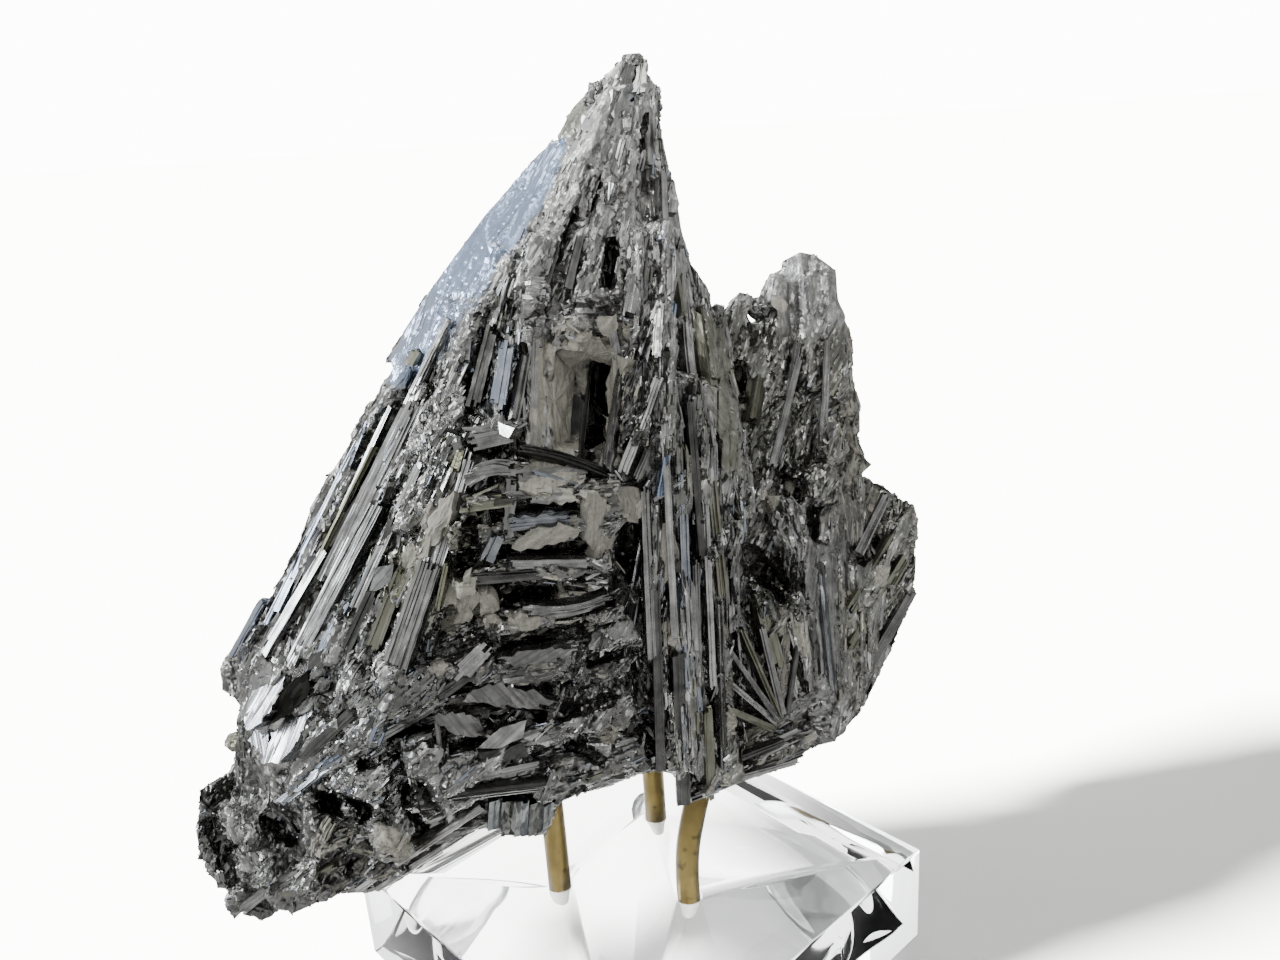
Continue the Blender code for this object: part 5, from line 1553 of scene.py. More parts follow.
FACETS: tuple[Facet, ...] = (
    # Sheets of crust with ragged edges.
    Facet(
        ((517, 472), (537, 460), (565, 461), (585, 472), (582, 485), (562, 492), (537, 494), (520, 489)),
        RIM, 1.3, ragged=3,
    ),
    Facet(
        ((520, 540), (540, 527), (565, 524), (580, 531), (570, 540), (540, 547), (512, 550)), RIM, 1.3, ragged=3,
    ),
    Facet(
        ((552, 340), (570, 347), (590, 337), (605, 347), (620, 350), (610, 365), (590, 357), (570, 367), (562, 360)),
        RIM, 0.8, ragged=3.5, thick=0.8,
    ),
    Facet(((598, 318), (616, 316), (620, 328), (612, 340), (602, 334)), RIM, 0.5, ragged=4, thick=0.8),
    Facet(
        ((610, 354), (627, 360), (627, 398), (622, 416), (608, 412), (607, 382)), RIM, 0.7, ragged=4, thick=0.9,
    ),
    Facet(
        ((608, 414), (623, 418), (618, 450), (609, 470), (601, 464), (606, 436)), RIM, 0.7, ragged=4, thick=0.9,
    ),
    Facet(((614, 488), (645, 488), (651, 505), (636, 520), (617, 517), (608, 502)), RIM, 0.6, ragged=4),
    Facet(((587, 492), (606, 500), (617, 520), (608, 548), (596, 560), (587, 538)), RIM, 0.5, ragged=4),
    Facet(((655, 518), (670, 525), (677, 550), (667, 582), (659, 560)), RIM, 0.6, ragged=4),
    Facet(
        ((428, 518), (440, 502), (455, 493), (450, 512), (438, 536), (424, 560), (416, 558)), RIM, 0.7, ragged=4,
    ),
    Facet(((464, 578), (474, 575), (478, 600), (468, 622), (456, 622), (460, 604)), RIM, 0.6, ragged=4),
    Facet(((474, 590), (490, 592), (500, 606), (482, 618)), RIM, 0.6, ragged=4),
    Facet(
        ((470, 690), (500, 684), (530, 690), (560, 702), (530, 708), (492, 704), (462, 702)), SHEET, 1.0, ragged=4,
    ),
    Facet(((437, 715), (462, 712), (486, 728), (476, 738), (450, 734), (440, 726)), SHEET, 0.9, ragged=4),
    Facet(((497, 622), (520, 616), (545, 622), (532, 632), (505, 632)), RIM, 0.8, ragged=4),
    Facet(((497, 658), (530, 650), (572, 648), (560, 660), (520, 668)), SHEET, 1.0, ragged=4),
    Facet(((478, 752), (497, 751), (524, 744), (530, 757), (500, 762), (480, 759)), SHADOWY, 1.0, ragged=2),
    Facet(
        ((246, 708), (262, 668), (290, 656), (282, 690), (262, 724), (244, 730)),
        Look(1.0, blue=0.1, gloss=1.0, flake=0.25), 0.5, 0.88, ragged=3,
    ),
    Facet(
        ((262, 762), (272, 728), (306, 696), (314, 704), (300, 738), (278, 764)),
        Look(1.0, blue=0.1, gloss=1.0, flake=0.2), 0.7, 0.88, ragged=3,
    ),
    Facet(((250, 742), (256, 722), (270, 722), (264, 756)), Look(0.9, blue=0.2, gloss=0.9), 0.5, 0.8, ragged=3),
    Facet(((262, 728), (276, 694), (306, 672), (310, 690), (288, 716)), BLOCK_DARK, 1.0, -0.1, ragged=2),
    Facet(((306, 676), (310, 656), (332, 645), (328, 664)), SHADOWY, 0.9, -0.1),
    Facet(((498, 422), (515, 428), (508, 438), (500, 434)), MIRROR, 1.6, 0.9),
    Facet(
        ((531, 338), (548, 333), (572, 340), (576, 364), (571, 420), (568, 468), (552, 468), (531, 462)),
        Look(1.0, crust=0.8, gloss=0.3, flake=0.1), 0.1, 0.0, thick=2.5,
    ),
    # A dark plate sunk in the vug beside its pale wall: painted shade in the hollow.
    Facet(((572, 362), (592, 356), (588, 420), (580, 470), (570, 466)), DARK, -2.2, 0.0),
    Facet(((603, 110), (606, 94), (613, 89), (611, 102)), MIRROR, 0.6, 0.9),
    Facet(((580, 124), (583, 115), (588, 117), (584, 127)), MIRROR, 0.6, 0.9),
    Facet(((602, 203), (609, 182), (614, 184), (607, 204)), MIRROR, 0.6, 0.9),
    Facet(((664, 217), (664, 196), (669, 193), (669, 212)), MIRROR, 0.5, 0.9),
    Facet(((477, 748), (500, 728), (527, 720), (522, 738), (496, 749)), BRIGHT, 1.4, 0.25),
    Facet(((357, 590), (368, 568), (394, 565), (390, 584), (370, 594)), SHADOWY, 0.5, -0.1),
)
LUMPS: tuple[Lump, ...] = (
    Lump((636, 506), 1.3, Look(0.6, crust=0.9, gold=0.3)),
    Lump((234, 668), 1.4, Look(0.4, crust=0.3, flake=0.8)),
    Lump((237, 742), 1.2, OLIVE, 0.1),
    Lump((633, 62), 1.2, Look(0.7, flake=0.8), 0.0),
    Lump((598, 86), 0.5, Look(0.5, flake=0.8)),
    Lump((388, 838), 1.4, CRUSTED, 0.0),
    Lump((404, 848), 1.0, CRUSTED, 0.0),
    Lump((758, 309), 1.5, Look(0.45, crust=0.2, flake=0.8), -0.4),
    Lump((912, 520), 0.8, Look(0.4, crust=0.4, flake=0.8), 0.0),
    Lump((673, 640), 0.7), Lump((729, 724), 0.9),
)


class MainCrystals:
    """The crystals, broken faces and knobs that have a place of their own."""

    RINGS = 11
    LOOSE = 1.6  # the most that the body and an end may stand apart, in millimetres
    WINDOW = (-0.98, 0.15, 0.18)  # the way to the brightest lamp, which the flashes face

    def __init__(self, body: CrystalBody) -> None:
        """Keeps the front that they sit on.

        Args:
            body: The sculpted body.
        """
        self.body = body
        self.datum = body.datum
        self.points: list[Array] = []
        self.faces: list[tuple[int, ...]] = []
        self.axes: list[Array] = []
        self.marks: list[Array] = []
        self.count = 0

    def _settle(self, pixel: Pixel, proud: float) -> Array:
        """The point behind a pixel, moved back until the body carries it.

        Args:
            pixel: Right and down in the view.
            proud: How far it stands out from the front, in millimetres.

        Returns:
            x, y and z in millimetres.
        """
        spot = self.datum.place(pixel, proud)
        back = unit(SIGHT.direction(pixel))
        for _ in range(6):
            loose = float(self.body.stand_off(spot[None])[0]) - self.LOOSE
            if loose < 0.05:
                break
            spot = spot + back * loose
        return spot

    def _normal(self, pixel: Pixel) -> Array:
        """The smoothed front's normal behind a pixel."""
        x, y = pixel
        span = 14
        across = self.datum.place((x + span, y)) - self.datum.place((x - span, y))
        down = self.datum.place((x, y + span)) - self.datum.place((x, y - span))
        normal = unit(np.cross(down, across))
        toward = -SIGHT.direction(pixel)
        normal = normal if normal @ toward > 0 else -normal
        return unit(normal + toward * max(0.0, 0.5 - float(normal @ toward)))

    def _add(self, points: Array, faces: list[tuple[int, ...]], axis: Array, look: Look) -> None:
        """Adds a closed shape.

        Args:
            points: Its points in millimetres.
            faces: Its faces.
            axis: The way that its striations run.
            look: Its finish.
        """
        self.faces.extend(tuple(self.count + i for i in face) for face in faces)
        self.count += len(points)
        self.points.append(points)
        self.axes.append(np.repeat(axis[None], len(points), axis=0))
        self.marks.append(np.repeat([[getattr(look, mark) for mark in MARKS]], len(points), axis=0))

    def _crystal(self, crystal: Crystal, rng: np.random.Generator) -> None:
        """Builds one striated crystal with ragged ends."""
        foot = self._settle(crystal.foot, crystal.proud[0])
        tip = self._settle(crystal.tip, crystal.proud[1])
        middle = ((crystal.foot[0] + crystal.tip[0]) / 2, (crystal.foot[1] + crystal.tip[1]) / 2)
        axis = unit(tip - foot)
        normal = self._normal(middle)
        normal = unit(normal - axis * (normal @ axis))
        side = np.cross(axis, normal)
        roll = math.radians(crystal.roll)
        show = normal * math.cos(roll) + side * math.sin(roll)
        mirror = unit(unit(np.array(self.WINDOW)) - SIGHT.direction(middle) / np.linalg.norm(SIGHT.direction(middle)))
        mirror = unit(mirror - axis * (mirror @ axis))
        show = unit(show * (1 - crystal.flash) + mirror * crystal.flash)
        side = np.cross(axis, show)
        length = float(np.linalg.norm(tip - foot))
        thick = max(crystal.width * 0.9, 1.2)
        walls = np.concatenate([[0], np.cumsum(rng.uniform(0.5, 1.6, crystal.strips))])
        walls = walls / walls[-1] - 0.5
        level = rng.uniform(-1, 1, crystal.strips) * crystal.step
        ends = rng.uniform(0, crystal.jag, (2, crystal.strips)) * crystal.width
        wobble = rng.uniform(-1, 1, (2, self.RINGS + 1)) * crystal.ragged * 2
        rings = []
        for number in range(self.RINGS + 1):
            share = number / self.RINGS
            level = level + rng.uniform(-0.25, 0.25, crystal.strips) * crystal.step
            narrow = 1 - (1 - crystal.narrow) * share
            wave = 1 + rng.uniform(-0.03, 0.03)
            bow = crystal.bend * 4 * share * (1 - share)
            ring = []
            for strip in range(crystal.strips):
                start, stop = ends[0][strip], length - ends[1][strip]
                along = start + (stop - start) * share
                for wall in (walls[strip] + 0.004, walls[strip + 1] - 0.004):
                    across = wall * crystal.width * (narrow * wave + wobble[int(wall > 0)][number]) + bow
                    ring.append(foot + axis * along + side * across + show * level[strip])
            for wall, depth in ((0.5, 0.35), (0.3, 1.0), (-0.3, 1.0), (-0.5, 0.35)):
                across = wall * crystal.width * (narrow * wave + wobble[int(wall > 0)][number]) + bow
                pull = 0.25 * crystal.width * (1 if number == 0 else -1 if number == self.RINGS else 0)
                along = length * share + pull
                ring.append(foot + axis * along + side * across - show * thick * depth)
            rings.append(ring)
        size = len(rings[0])
        points = np.array(rings).reshape(-1, 3)
        faces = [
            (r * size + i, r * size + (i + 1) % size, (r + 1) * size + (i + 1) % size, (r + 1) * size + i)
            for r in range(self.RINGS) for i in range(size)
        ]
        last = self.RINGS * size
        for base, order in ((0, -1), (last, 1)):
            hub = len(points)
            inward = show * thick * 0.4
            points = np.vstack([points, points[base : base + size].mean(axis=0) - inward])
            cap = [(base + i, base + (i + 1) % size, hub) for i in range(size)]
            faces.extend(cap if order == 1 else [face[::-1] for face in cap])
        self._add(points, faces, axis, crystal.look)

    def _ragged(self, corners: Array, amount: float) -> Array:
        """Breaks up the edges between corners.

        Args:
            corners: Rows of two, in pixels.
            amount: How far the edges stray, in pixels.

        Returns:
            More corners, about four pixels apart.
        """
        rows = []
        for start, end in zip(corners, np.roll(corners, -1, axis=0)):
            steps = max(1, int(np.linalg.norm(end - start) / 4))
            rows.extend(start + (end - start) * step / steps for step in range(steps))
        rows = np.array(rows)
        spots = np.column_stack([rows / 5.0, np.zeros(len(rows))])
        stray = np.column_stack([lattice_noise(spots, 41), lattice_noise(spots, 42)])
        return rows + stray * amount

    def _facet(self, facet: Facet) -> None:
        """Builds one flat broken face as a plate that sinks into the body."""
        corners = self._ragged(np.array(facet.corners, float), facet.ragged)
        middle = tuple(corners.mean(axis=0))
        heart = self._settle(middle, facet.proud)
        normal = self._normal(middle)
        toward = -SIGHT.direction(middle)
        mirror = unit(toward + unit(np.array(self.WINDOW)))
        normal = unit(normal * (1 - facet.flash) + mirror * facet.flash)
        stand = np.array(SIGHT.stand)
        top = []
        for corner in corners:
            ray = SIGHT.direction(tuple(corner))
            top.append(stand + ray * ((heart - stand) @ normal / (ray @ normal)))
        top = np.array(top)
        centre = top.mean(axis=0)
        axis = unit(top[np.argmin(corners[:, 1])] - top[np.argmax(corners[:, 1])])
        count = len(top)
        bumpy = 0.28 * smoothstep(0.2, 0.6, np.array([facet.look.crust]))[0]
        rings = [centre + (top - centre) * 0.9 - normal * facet.thick, top]
        for scale in (0.82, 0.6, 0.35):
            ring = centre + (top - centre) * scale
            swell = (lattice_noise(ring / 0.7, 43) + 1 - scale) * bumpy
            rings.append(ring + normal * swell[:, None])
        faces = [tuple(range(count - 1, -1, -1))]
        for number in range(len(rings) - 1):
            low, high = number * count, (number + 1) * count
            faces.extend((low + i, low + (i + 1) % count, high + (i + 1) % count, high + i) for i in range(count))
        last = (len(rings) - 1) * count
        hub = len(rings) * count
        faces.extend((last + i, last + (i + 1) % count, hub) for i in range(count))
        points = np.vstack([*rings, centre + normal * bumpy])
        self._add(points, faces, axis, facet.look)

    def _lump(self, lump: Lump, seed: int) -> None:
        """Builds one rough knob."""
        bm = bmesh.new()
        bmesh.ops.create_icosphere(bm, subdivisions=4, radius=1.0)
        around = np.array([vert.co[:] for vert in bm.verts])
        faces = [tuple(vert.index for vert in face.verts) for face in bm.faces]
        bm.free()
        rough = 1 + 0.22 * lattice_noise(around * 1.7 + seed, seed) + 0.12 * lattice_noise(around * 5, seed)
        centre = self._settle(lump.at, lump.proud - lump.radius * 0.4)
        heading = unit(np.array([0.3, 0.1, 0.9]))
        self._add(centre + around * rough[:, None] * lump.radius, faces, heading, lump.look)

    def build(self) -> bpy.types.Object:
        """Builds them all.

        Returns:
            One mesh of all the main crystals.
        """
        for seed, crystal in enumerate(CRYSTALS):
            self._crystal(crystal, np.random.default_rng(seed))
        for facet in FACETS:
            self._facet(facet)
        for seed, lump in enumerate(LUMPS):
            self._lump(lump, seed)
        low, high = (np.array(corner) / MM for corner in CAD_BOUNDS)
        obj = mesh_object("stibnite_main_crystals", np.clip(np.vstack(self.points), low, high), self.faces)
        store(obj.data, "axis", np.vstack(self.axes))
        marks = np.vstack(self.marks)
        for column, mark in enumerate(MARKS):
            store(obj.data, mark, marks[:, column])
        face_outwards(obj)
        return obj


# ---------------------------------------------------------------- finishes


def start_material(name: str, **values: Any) -> tuple[bpy.types.Material, Callable[..., Any], Any]:
    """Starts a material on the Principled shader.

    Args:
        name: The material's name.
        **values: The shader's inputs that are the same all over, with spaces as underscores.

    Returns:
        The material, what adds a node to it, and its shader.
    """
    material = bpy.data.materials.new(name)
    material.use_nodes = True
    shader = material.node_tree.nodes["Principled BSDF"]
    for key, value in values.items():
        shader.inputs[key.replace("_", " ")].default_value = value
    return material, partial(add_node, material.node_tree), shader


def connect(shader: Any, **sources: Any) -> None:
    """Links nodes to a shader's inputs, by the inputs' names with spaces as underscores."""
    for key, source in sources.items():
        shader.id_data.links.new(first_output(source), shader.inputs[key.replace("_", " ")])


@dataclass(frozen=True)
class StibniteFinish:
    """Natural antimony sulphide with broken, striated faces.

    It reads as a lead-grey metal: mirror flashes where a cleavage faces the light, painted glints on a few flakes,
    fine lines along every crystal, a thin blue or gold tarnish film on the freshest faces and a dull beige-grey oxide
    crust.
    """

    fresh: str = "#a6a6a4"
    worn: str = "#4a4a48"
    blue_film: str = "#8796ad"
    gold_film: str = "#7f8060"
    crust_dark: str = "#807e74"
    crust_pale: str = "#cbc8ba"
    striation: float = 0.2  # mm between lines, coarser than the real ones so that they show
    crust_grain: float = 0.5  # mm
    flake: float = 0.5  # mm across a flake
    flake_lean: float = 0.7
    painted_glint_gain: float = 1.1

    def build(self) -> bpy.types.Material:
        """Makes the material."""
        material, node, shader = start_material("stibnite_metal")
        place = node("ShaderNodeTexCoord").outputs["Object"]
        marks = {name: node("ShaderNodeAttribute", attribute_name=name) for name in ("axis", *MARKS)}
        along = node(
            "ShaderNodeVectorMath", {0: place, 1: marks["axis"].outputs["Vector"]}, operation="DOT_PRODUCT"
        )
        drawn = []
        for hold in (0.975, 0.8):
            held = node("ShaderNodeMath", {0: along.outputs["Value"], 1: hold}, operation="MULTIPLY")
            run = node(
                "ShaderNodeVectorMath",
                {0: marks["axis"].outputs["Vector"], "Scale": held}, operation="SCALE",
            )
            drawn.append(node("ShaderNodeVectorMath", {0: place, 1: run}, operation="SUBTRACT"))
        across, stretched = drawn
        # Flakes: each long cell of the pattern is a small face with a lean of its own.
        cells = node("ShaderNodeTexVoronoi", {"Vector": stretched, "Scale": 1 / (self.flake * MM)})
        lean = node(
            "ShaderNodeVectorMath", {0: cells.outputs["Color"], 1: (0.5, 0.5, 0.5)}, operation="SUBTRACT"
        )
        amount = node(
            "ShaderNodeMath", {0: marks["flake"].outputs["Fac"], 1: self.flake_lean}, operation="MULTIPLY"
        )
        leaned = node("ShaderNodeVectorMath", {0: lean, "Scale": amount}, operation="SCALE")
        face_normal = node("ShaderNodeNewGeometry").outputs["Normal"]
        flaked = node("ShaderNodeVectorMath", {0: face_normal, 1: leaned})
        normal = node("ShaderNodeVectorMath", {0: flaked}, operation="NORMALIZE")
        lines = node(
            "ShaderNodeTexNoise",
            {"Vector": across, "Scale": 1 / (self.striation * 2 * MM), "Detail": 2.0, "Roughness": 0.65},
        )
        grit = node(
            "ShaderNodeTexNoise",
            {"Vector": place, "Scale": 1 / (self.crust_grain * MM), "Detail": 3.0, "Roughness": 0.7},
        )
        patches = node(
            "ShaderNodeTexNoise", {"Vector": place, "Scale": 1 / (2.2 * MM), "Detail": 3.0, "Roughness": 0.65}
        )
        # Crust lies in ragged patches: the attribute moves the threshold of a noise.
        level = node(
            "ShaderNodeMath",
            {0: patches.outputs["Fac"], 1: marks["crust"].outputs["Fac"]}, operation="ADD",
        )
        crusted = node("ShaderNodeMapRange", {"Value": level, "From Min": 0.86, "From Max": 0.93})
        tone = node(
            "ShaderNodeMix", {"Factor": marks["shade"].outputs["Fac"], 6: linear(self.worn), 7: linear(self.fresh)},
            data_type="RGBA", clamp_factor=False,
        )
        streak = node(
            "ShaderNodeMapRange",
            {"Value": lines.outputs["Fac"], "From Min": 0.3, "From Max": 0.7, "To Min": 0.55, "To Max": 1.15},
        )
        worn = node(
            "ShaderNodeMapRange",
            {"Value": patches.outputs["Fac"], "From Min": 0.35, "From Max": 0.65, "To Min": 1.15, "To Max": 0.6},
        )
        dulled = node("ShaderNodeMath", {0: streak, 1: worn}, operation="MULTIPLY")
        # A few flakes, standing for freshly broken faces, have their colour lifted up to twice the metal's: painted
        # glints.
        chance = node("ShaderNodeSeparateColor", {0: cells.outputs["Color"]})
        picked = node(
            "ShaderNodeMapRange",
            {"Value": chance.outputs[2], "From Min": 0.86, "From Max": 0.9, "To Min": 0.0, "To Max": self.painted_glint_gain},
        )
        painted_glints = node(
            "ShaderNodeMath", {0: picked, 1: marks["flake"].outputs["Fac"], 2: 1.0},
            operation="MULTIPLY_ADD",
        )
        lively = node("ShaderNodeMath", {0: dulled, 1: painted_glints}, operation="MULTIPLY")
        streaked = node(
            "ShaderNodeMix", {"Factor": 1.0, 6: tone.outputs[2], 7: lively},
            data_type="RGBA", blend_type="MULTIPLY",
        )
        bluish = node(
            "ShaderNodeMix",
            {"Factor": marks["blue"].outputs["Fac"], 6: streaked.outputs[2], 7: linear(self.blue_film)},
            data_type="RGBA",
        )
        golden = node(
            "ShaderNodeMix",
            {"Factor": marks["gold"].outputs["Fac"], 6: bluish.outputs[2], 7: linear(self.gold_film)},
            data_type="RGBA",
        )
        dust = node(
            "ShaderNodeMix",
            {"Factor": grit.outputs["Fac"], 6: linear(self.crust_dark), 7: linear(self.crust_pale)},
            data_type="RGBA",
        )
        # The crust's colour goes darker where the tone is low.
        dust_dimming = node("ShaderNodeMapRange", {"Value": marks["shade"].outputs["Fac"], "To Min": 0.38, "To Max": 1.0})
        lined = node(
            "ShaderNodeMapRange",
            {"Value": lines.outputs["Fac"], "From Min": 0.35, "From Max": 0.6, "To Min": 0.68, "To Max": 1.0},
        )
        dimmed = node("ShaderNodeMath", {0: lined, 1: dust_dimming}, operation="MULTIPLY")
        dusted = node(
            "ShaderNodeMix", {"Factor": 1.0, 6: dust.outputs[2], 7: dimmed},
            data_type="RGBA", blend_type="MULTIPLY",
        )
        colour = node(
            "ShaderNodeMix", {"Factor": crusted, 6: golden.outputs[2], 7: dusted.outputs[2]},
            data_type="RGBA",
        )
        metal = node("ShaderNodeMapRange", {"Value": crusted, "To Min": 1.0, "To Max": 0.0})
        polish = node(
            "ShaderNodeMapRange", {"Value": marks["gloss"].outputs["Fac"], "To Min": 0.3, "To Max": 0.02}
        )
        scuffed = node(
            "ShaderNodeMath", {0: patches.outputs["Fac"], 1: 0.3, 2: polish},
            operation="MULTIPLY_ADD",
        )
        rough = node("ShaderNodeMix", {"Factor": crusted, 2: scuffed, 3: 0.9}, data_type="FLOAT")
        dusty = node("ShaderNodeMath", {0: crusted, 1: 0.6}, operation="MULTIPLY")
        relief = node(
            "ShaderNodeMix",
            {"Factor": dusty, 2: lines.outputs["Fac"], 3: grit.outputs["Fac"]}, data_type="FLOAT",
        )
        bump = node(
            "ShaderNodeBump",
            {"Strength": 0.5, "Distance": 0.12 * MM, "Height": relief, "Normal": normal},
        )
        connect(shader, Base_Color=colour.outputs[2], Metallic=metal, Roughness=rough, Normal=bump)
        return material


@dataclass(frozen=True)
class BrassFinish:
    """Drawn brass rod, not lacquered: dull golden brown with faint draw lines and dark tarnish spots."""

    bright: str = "#776840"
    brown: str = "#4c4026"
    spot: str = "#332b1e"
    draw_lines: float = 0.4  # mm, coarser than the real ones so that they show
    clouding: float = 3.0  # mm
    spotting: float = 2.6  # mm

    def build(self) -> bpy.types.Material:
        """Makes the material."""
        material, node, shader = start_material("tarnished_brass", Metallic=1.0)
        place = node("ShaderNodeTexCoord").outputs["Object"]
        drawn = node("ShaderNodeMapping", {"Vector": place, "Scale": (1, 1, 0.06)})
        lines = node(
            "ShaderNodeTexNoise", {"Vector": drawn, "Scale": 1 / (self.draw_lines * MM), "Detail": 3.0}
        )
        clouds = node("ShaderNodeTexNoise", {"Vector": place, "Scale": 1 / (self.clouding * MM), "Detail": 4.0})
        base = node(
            "ShaderNodeMix",
            {"Factor": clouds.outputs["Fac"], 6: linear(self.brown), 7: linear(self.bright)}, data_type="RGBA",
        )
        dots = node("ShaderNodeTexNoise", {"Vector": place, "Scale": 1 / (self.spotting * MM), "Detail": 2.0})
        spotted = node("ShaderNodeMapRange", {"Value": dots.outputs["Fac"], "From Min": 0.62, "From Max": 0.72})
        colour = node(
            "ShaderNodeMix", {"Factor": spotted, 6: base.outputs[2], 7: linear(self.spot)},
            data_type="RGBA",
        )
        rough = node("ShaderNodeMapRange", {"Value": lines.outputs["Fac"], "To Min": 0.26, "To Max": 0.5})
        bump = node("ShaderNodeBump", {"Strength": 0.2, "Distance": 0.05 * MM, "Height": lines.outputs["Fac"]})
        connect(shader, Base_Color=colour.outputs[2], Roughness=rough, Normal=bump)
        return material


@dataclass(frozen=True)
class ClearFinish:
    """A clear plastic: its tint, and a noise that says how polished or scored its skin is, place by place."""

    name: str
    tint: str
    ior: float
    grain: float  # mm
    detail: float
    rough: tuple[float, float]
    noise: tuple[float, float] = (0.0, 1.0)
    stretch: Place | None = None
    bump: float = 0.0

    def build(self) -> bpy.types.Material:
        """Makes the material."""
        material, node, shader = start_material(
            self.name, Base_Color=linear(self.tint), Transmission_Weight=1.0, IOR=self.ior
        )
        place = node("ShaderNodeTexCoord").outputs["Object"]
        if self.stretch:
            place = node("ShaderNodeMapping", {"Vector": place, "Scale": self.stretch}).outputs[0]
        marks = node(
            "ShaderNodeTexNoise", {"Vector": place, "Scale": 1 / (self.grain * MM), "Detail": self.detail}
        ).outputs["Fac"]
        (low, high), (smooth, scored) = self.noise, self.rough
        rough = node(
            "ShaderNodeMapRange",
            {"Value": marks, "From Min": low, "From Max": high, "To Min": smooth, "To Max": scored},
        )
        connect(shader, Roughness=rough)
        if self.bump:
            bump = node("ShaderNodeBump", {"Strength": self.bump, "Distance": 0.1 * MM, "Height": marks})
            connect(shader, Normal=bump)
        return material


# Cast acrylic with flame-polished faces: water clear, with bright edges and the faintest scuffs.
POLISHED_ACRYLIC = ClearFinish("polished_acrylic", "#fbfdfd", 1.49, 6, 4.0, (0.0, 0.05), (0.4, 0.8))
# Acrylic as the drill leaves it: a white, finely scored wall, with scores coarser than real so that they show.
DRILLED_ACRYLIC = ClearFinish(
    "drilled_acrylic", "#fbfbfb", 1.49, 0.3, 2.0, (0.3, 0.65), stretch=(0.15, 0.15, 1), bump=0.4
)
# Moulded clear polyurethane: see-through but softly clouded, with a satin skin.
CLEAR_POLYURETHANE = ClearFinish("clear_polyurethane", "#f2f5f4", 1.5, 1.5, 3.0, (0.06, 0.22))


# ---------------------------------------------------------------- display stand


class DisplayStand:
    """The acrylic block, its brass rods and its bumper feet, smooth where they are turned or moulded."""

    SMOOTH_UNDER = 40  # degrees between faces that read as one curve
    HOLES = ((-5.44, -4.1), (8.46, 9.7), (12.36, -8.2))  # millimetres
    BELOW_HOLES = 5.0
    HOLE_REACH = 2.2
    BLOCK_TOP = 18.5

    def build(self) -> None:
        """Makes every piece and dresses it."""
        acrylic, brass, bumper = POLISHED_ACRYLIC.build(), BrassFinish().build(), CLEAR_POLYURETHANE.build()
        block = self._smooth_copy(BLOCK_NODE, "polished_block")
        block.data.materials.append(acrylic)
        block.data.materials.append(DRILLED_ACRYLIC.build())
        self._frost_holes(block)
        block.visible_shadow = False
        dress(block, acrylic, [BLOCK_NODE])
        for node in ROD_NODES:
            dress(self._smooth_copy(node, node.replace("brass_rod", "drawn_rod")), brass, [node])
        for node in FOOT_NODES:
            foot = self._smooth_copy(node, node.replace("bumper_foot", "moulded_foot"))
            foot.visible_shadow = False
            dress(foot, bumper, [node])

    def _smooth_copy(self, node: str, name: str) -> bpy.types.Object:
        """Copies a CAD node's mesh with its curved faces smooth.

        Args:
            node: The CAD node.
            name: The copy's name.

        Returns:
            The copy.
        """
        obj = merged_copy(node, name)
        obj.data.shade_smooth()
        obj.data.set_sharp_from_angle(angle=math.radians(self.SMOOTH_UNDER))
        return obj

    def _frost_holes(self, block: bpy.types.Object) -> None:
        """Gives the drilled holes' walls the frosted finish."""
        for face in block.data.polygons:
            centre = np.array(face.center) / MM
            near = [math.hypot(centre[0] - x, centre[1] - y) < self.HOLE_REACH for x, y in self.HOLES]
            face.material_index = int(any(near) and self.BELOW_HOLES < centre[2] < self.BLOCK_TOP - 0.1)


# ---------------------------------------------------------------- studio


@dataclass(frozen=True)
class Softbox:
    """A square lamp: where it stands, how wide it is and how bright its face is."""

    stand: Place
    width: float
    radiance: float
    colour: str = "#ffffff"


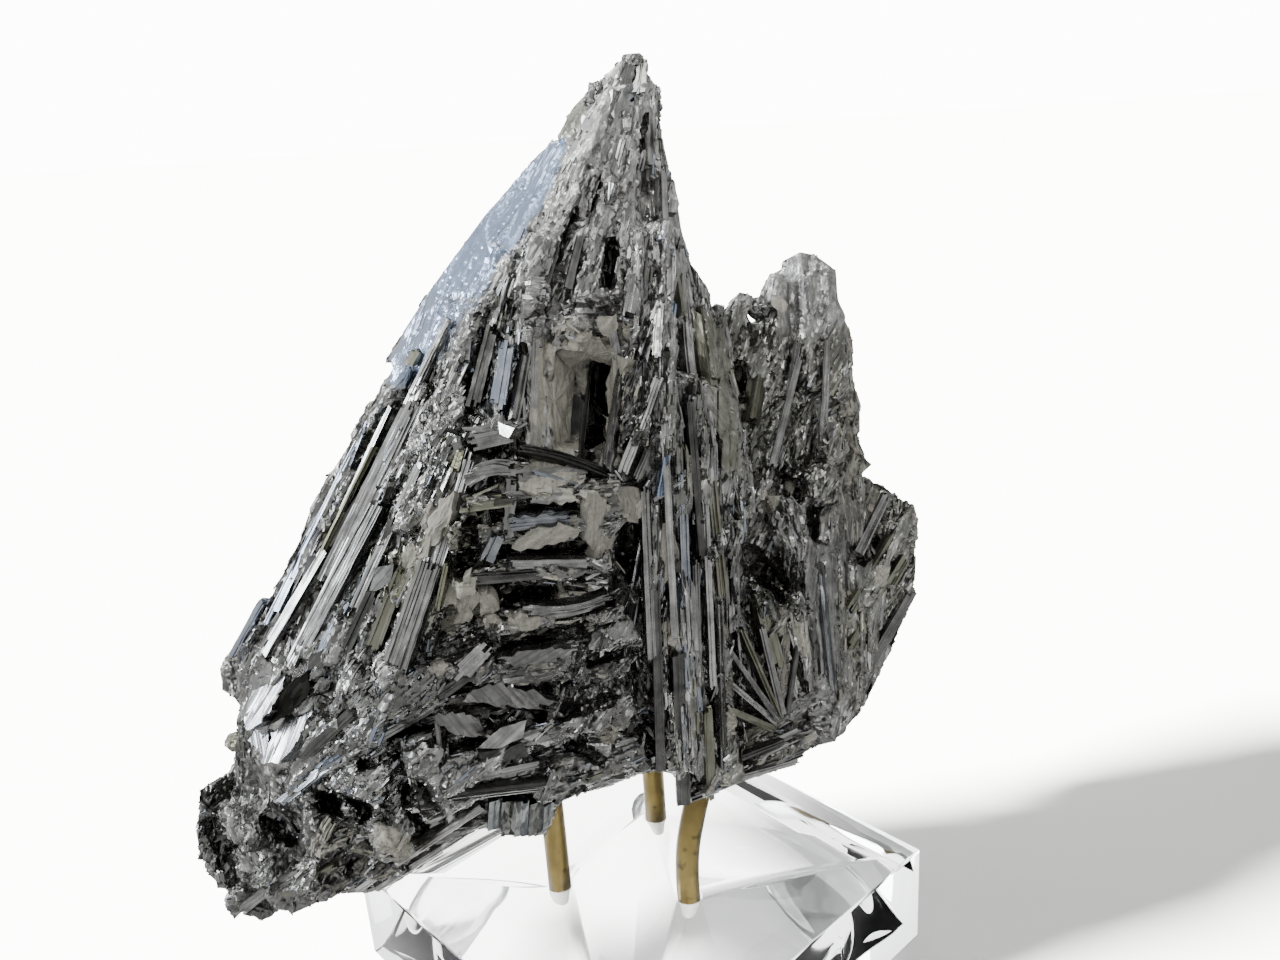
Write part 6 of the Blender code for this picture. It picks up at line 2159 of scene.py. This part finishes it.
class Studio:
    """A plain pale floor, soft lamps and a white surround."""

    LAMPS: dict[str, Softbox] = {
        "left_window": Softbox((-540, -60, 240), 250, 22.0, "#f4f8ff"),
        "top_softbox": Softbox((-120, 80, 620), 420, 6.0),
        "front_strip": Softbox((-160, -520, 470), 220, 9.0),
        "right_fill": Softbox((560, 60, 260), 260, 1.6),
    }
    SUN_TRAVEL = (120, 30, -100)
    SUN_SOFTNESS = 10  # degrees
    SUN_STRENGTH = 135.0
    SURROUND = (0.1, 1.1)  # under and over the horizon
    BACKGROUND = 13.5
    THROUGH_MIRRORS = 0.25  # what is left of the white where it is seen by a reflection and through the block
    FLOOR_SHOWN = "#b3b3b0"
    FLOOR_MIRRORED = "#353535"  # keeps the floor's glare out of the metal

    def build(self) -> None:
        """Makes the floor, lamps and world."""
        for name, lamp in self.LAMPS.items():
            data = bpy.data.lights.new(name, "AREA")
            data.size = lamp.width * MM
            data.color = linear(lamp.colour)[:3]
            data.energy = lamp.radiance * math.pi * data.size**2
            obj = bpy.data.objects.new(name, data)
            obj.location = Vector(lamp.stand) * MM
            aim = Vector((0, 0, 70)) * MM - obj.location
            obj.rotation_euler = aim.to_track_quat("-Z", "Y").to_euler()
            bpy.context.scene.collection.objects.link(obj)
        self._world()
        self._floor_sun(self._floor())

    def _floor_sun(self, floor: bpy.types.Object) -> None:
        """Lights the floor alone, so that it goes white round one soft shadow."""
        data = bpy.data.lights.new("floor_sun", "SUN")
        data.energy = self.SUN_STRENGTH
        data.angle = math.radians(self.SUN_SOFTNESS)
        sun = bpy.data.objects.new("floor_sun", data)
        sun.rotation_euler = Vector(self.SUN_TRAVEL).to_track_quat("-Z", "Y").to_euler()
        bpy.context.scene.collection.objects.link(sun)
        lit = bpy.data.collections.new("lit_by_floor_sun")
        lit.objects.link(floor)
        sun.light_linking.receiver_collection = lit

    def _world(self) -> None:
        """A surround that is white behind the object and dimmer in what the crystals mirror."""
        world = bpy.data.worlds.new("white_surround")
        bpy.context.scene.world = world
        world.use_nodes = True
        tree = world.node_tree
        node = partial(add_node, tree)
        seen = self._seen(tree)
        way = node("ShaderNodeSeparateXYZ", {0: node("ShaderNodeTexCoord").outputs["Generated"]})
        low, high = self.SURROUND
        rise = node(
            "ShaderNodeMapRange",
            {"Value": way.outputs["Z"], "From Min": -0.4, "From Max": 0.15, "To Min": low, "To Max": high},
            interpolation_type="SMOOTHSTEP",
        )
        side = node(
            "ShaderNodeMapRange",
            {"Value": way.outputs["X"], "From Min": -0.8, "From Max": 0.8, "To Min": 1.35, "To Max": 0.6},
        )
        product = node("ShaderNodeMath", {0: rise, 1: side}, operation="MULTIPLY")
        strength = node("ShaderNodeMix", {"Factor": seen, 2: product, 3: self.BACKGROUND}, data_type="FLOAT")
        tree.links.new(strength.outputs[0], tree.nodes["Background"].inputs["Strength"])
        tree.nodes["Background"].inputs["Color"].default_value = (1, 1, 1, 1)

    def _seen(self, tree: bpy.types.NodeTree) -> bpy.types.NodeSocket:
        """Adds what tells straight and see-through views from reflections and bounced light.

        Args:
            tree: The tree to add it to.

        Returns:
            A socket that is 1 for straight and see-through views.
        """
        node = partial(add_node, tree)
        path = node("ShaderNodeLightPath")
        turns = node("ShaderNodeMath", {0: path.outputs["Glossy Depth"], 1: path.outputs["Diffuse Depth"]})
        fading = node("ShaderNodeMapRange", {"Value": turns, "To Min": 1.0, "To Max": self.THROUGH_MIRRORS})
        through = node(
            "ShaderNodeMath",
            {0: path.outputs["Is Transmission Ray"], 1: fading}, operation="MULTIPLY",
        )
        seen = node("ShaderNodeMath", {0: path.outputs["Is Camera Ray"], 1: through}, operation="MAXIMUM")
        return seen.outputs[0]

    def _floor(self) -> bpy.types.Object:
        """Makes a wide matt floor.

        Returns:
            The floor.
        """
        bpy.ops.mesh.primitive_plane_add(size=40.0, location=(0, 0, 0))
        floor = bpy.context.object
        floor.name = "studio_floor"
        material, node, shader = start_material("pale_floor", Roughness=0.9, Specular_IOR_Level=0.0)
        seen = self._seen(material.node_tree)
        tone = node(
            "ShaderNodeMix", {"Factor": seen, 6: linear(self.FLOOR_MIRRORED), 7: linear(self.FLOOR_SHOWN)},
            data_type="RGBA",
        )
        connect(shader, Base_Color=tone.outputs[2])
        floor.data.materials.append(material)
        return floor


def main() -> None:
    """Builds the looks, piece by piece."""
    logging.basicConfig(level=logging.INFO, format="%(name)s: %(message)s")
    metal = StibniteFinish().build()
    body = CrystalBody()
    body.sculpt()
    dress(body.obj, metal, [CLUSTER_NODE])
    shapes = CrystalShapes()
    grower = CrystalGrower(body, shapes, metal)
    for growth in GROWTHS:
        dress(grower.grow(growth), metal)
    shapes.remove()
    dress(MainCrystals(body).build(), metal)
    DisplayStand().build()
    Studio().build()
    bpy.context.scene.camera = SIGHT.camera()


if __name__ == "__main__":
    main()
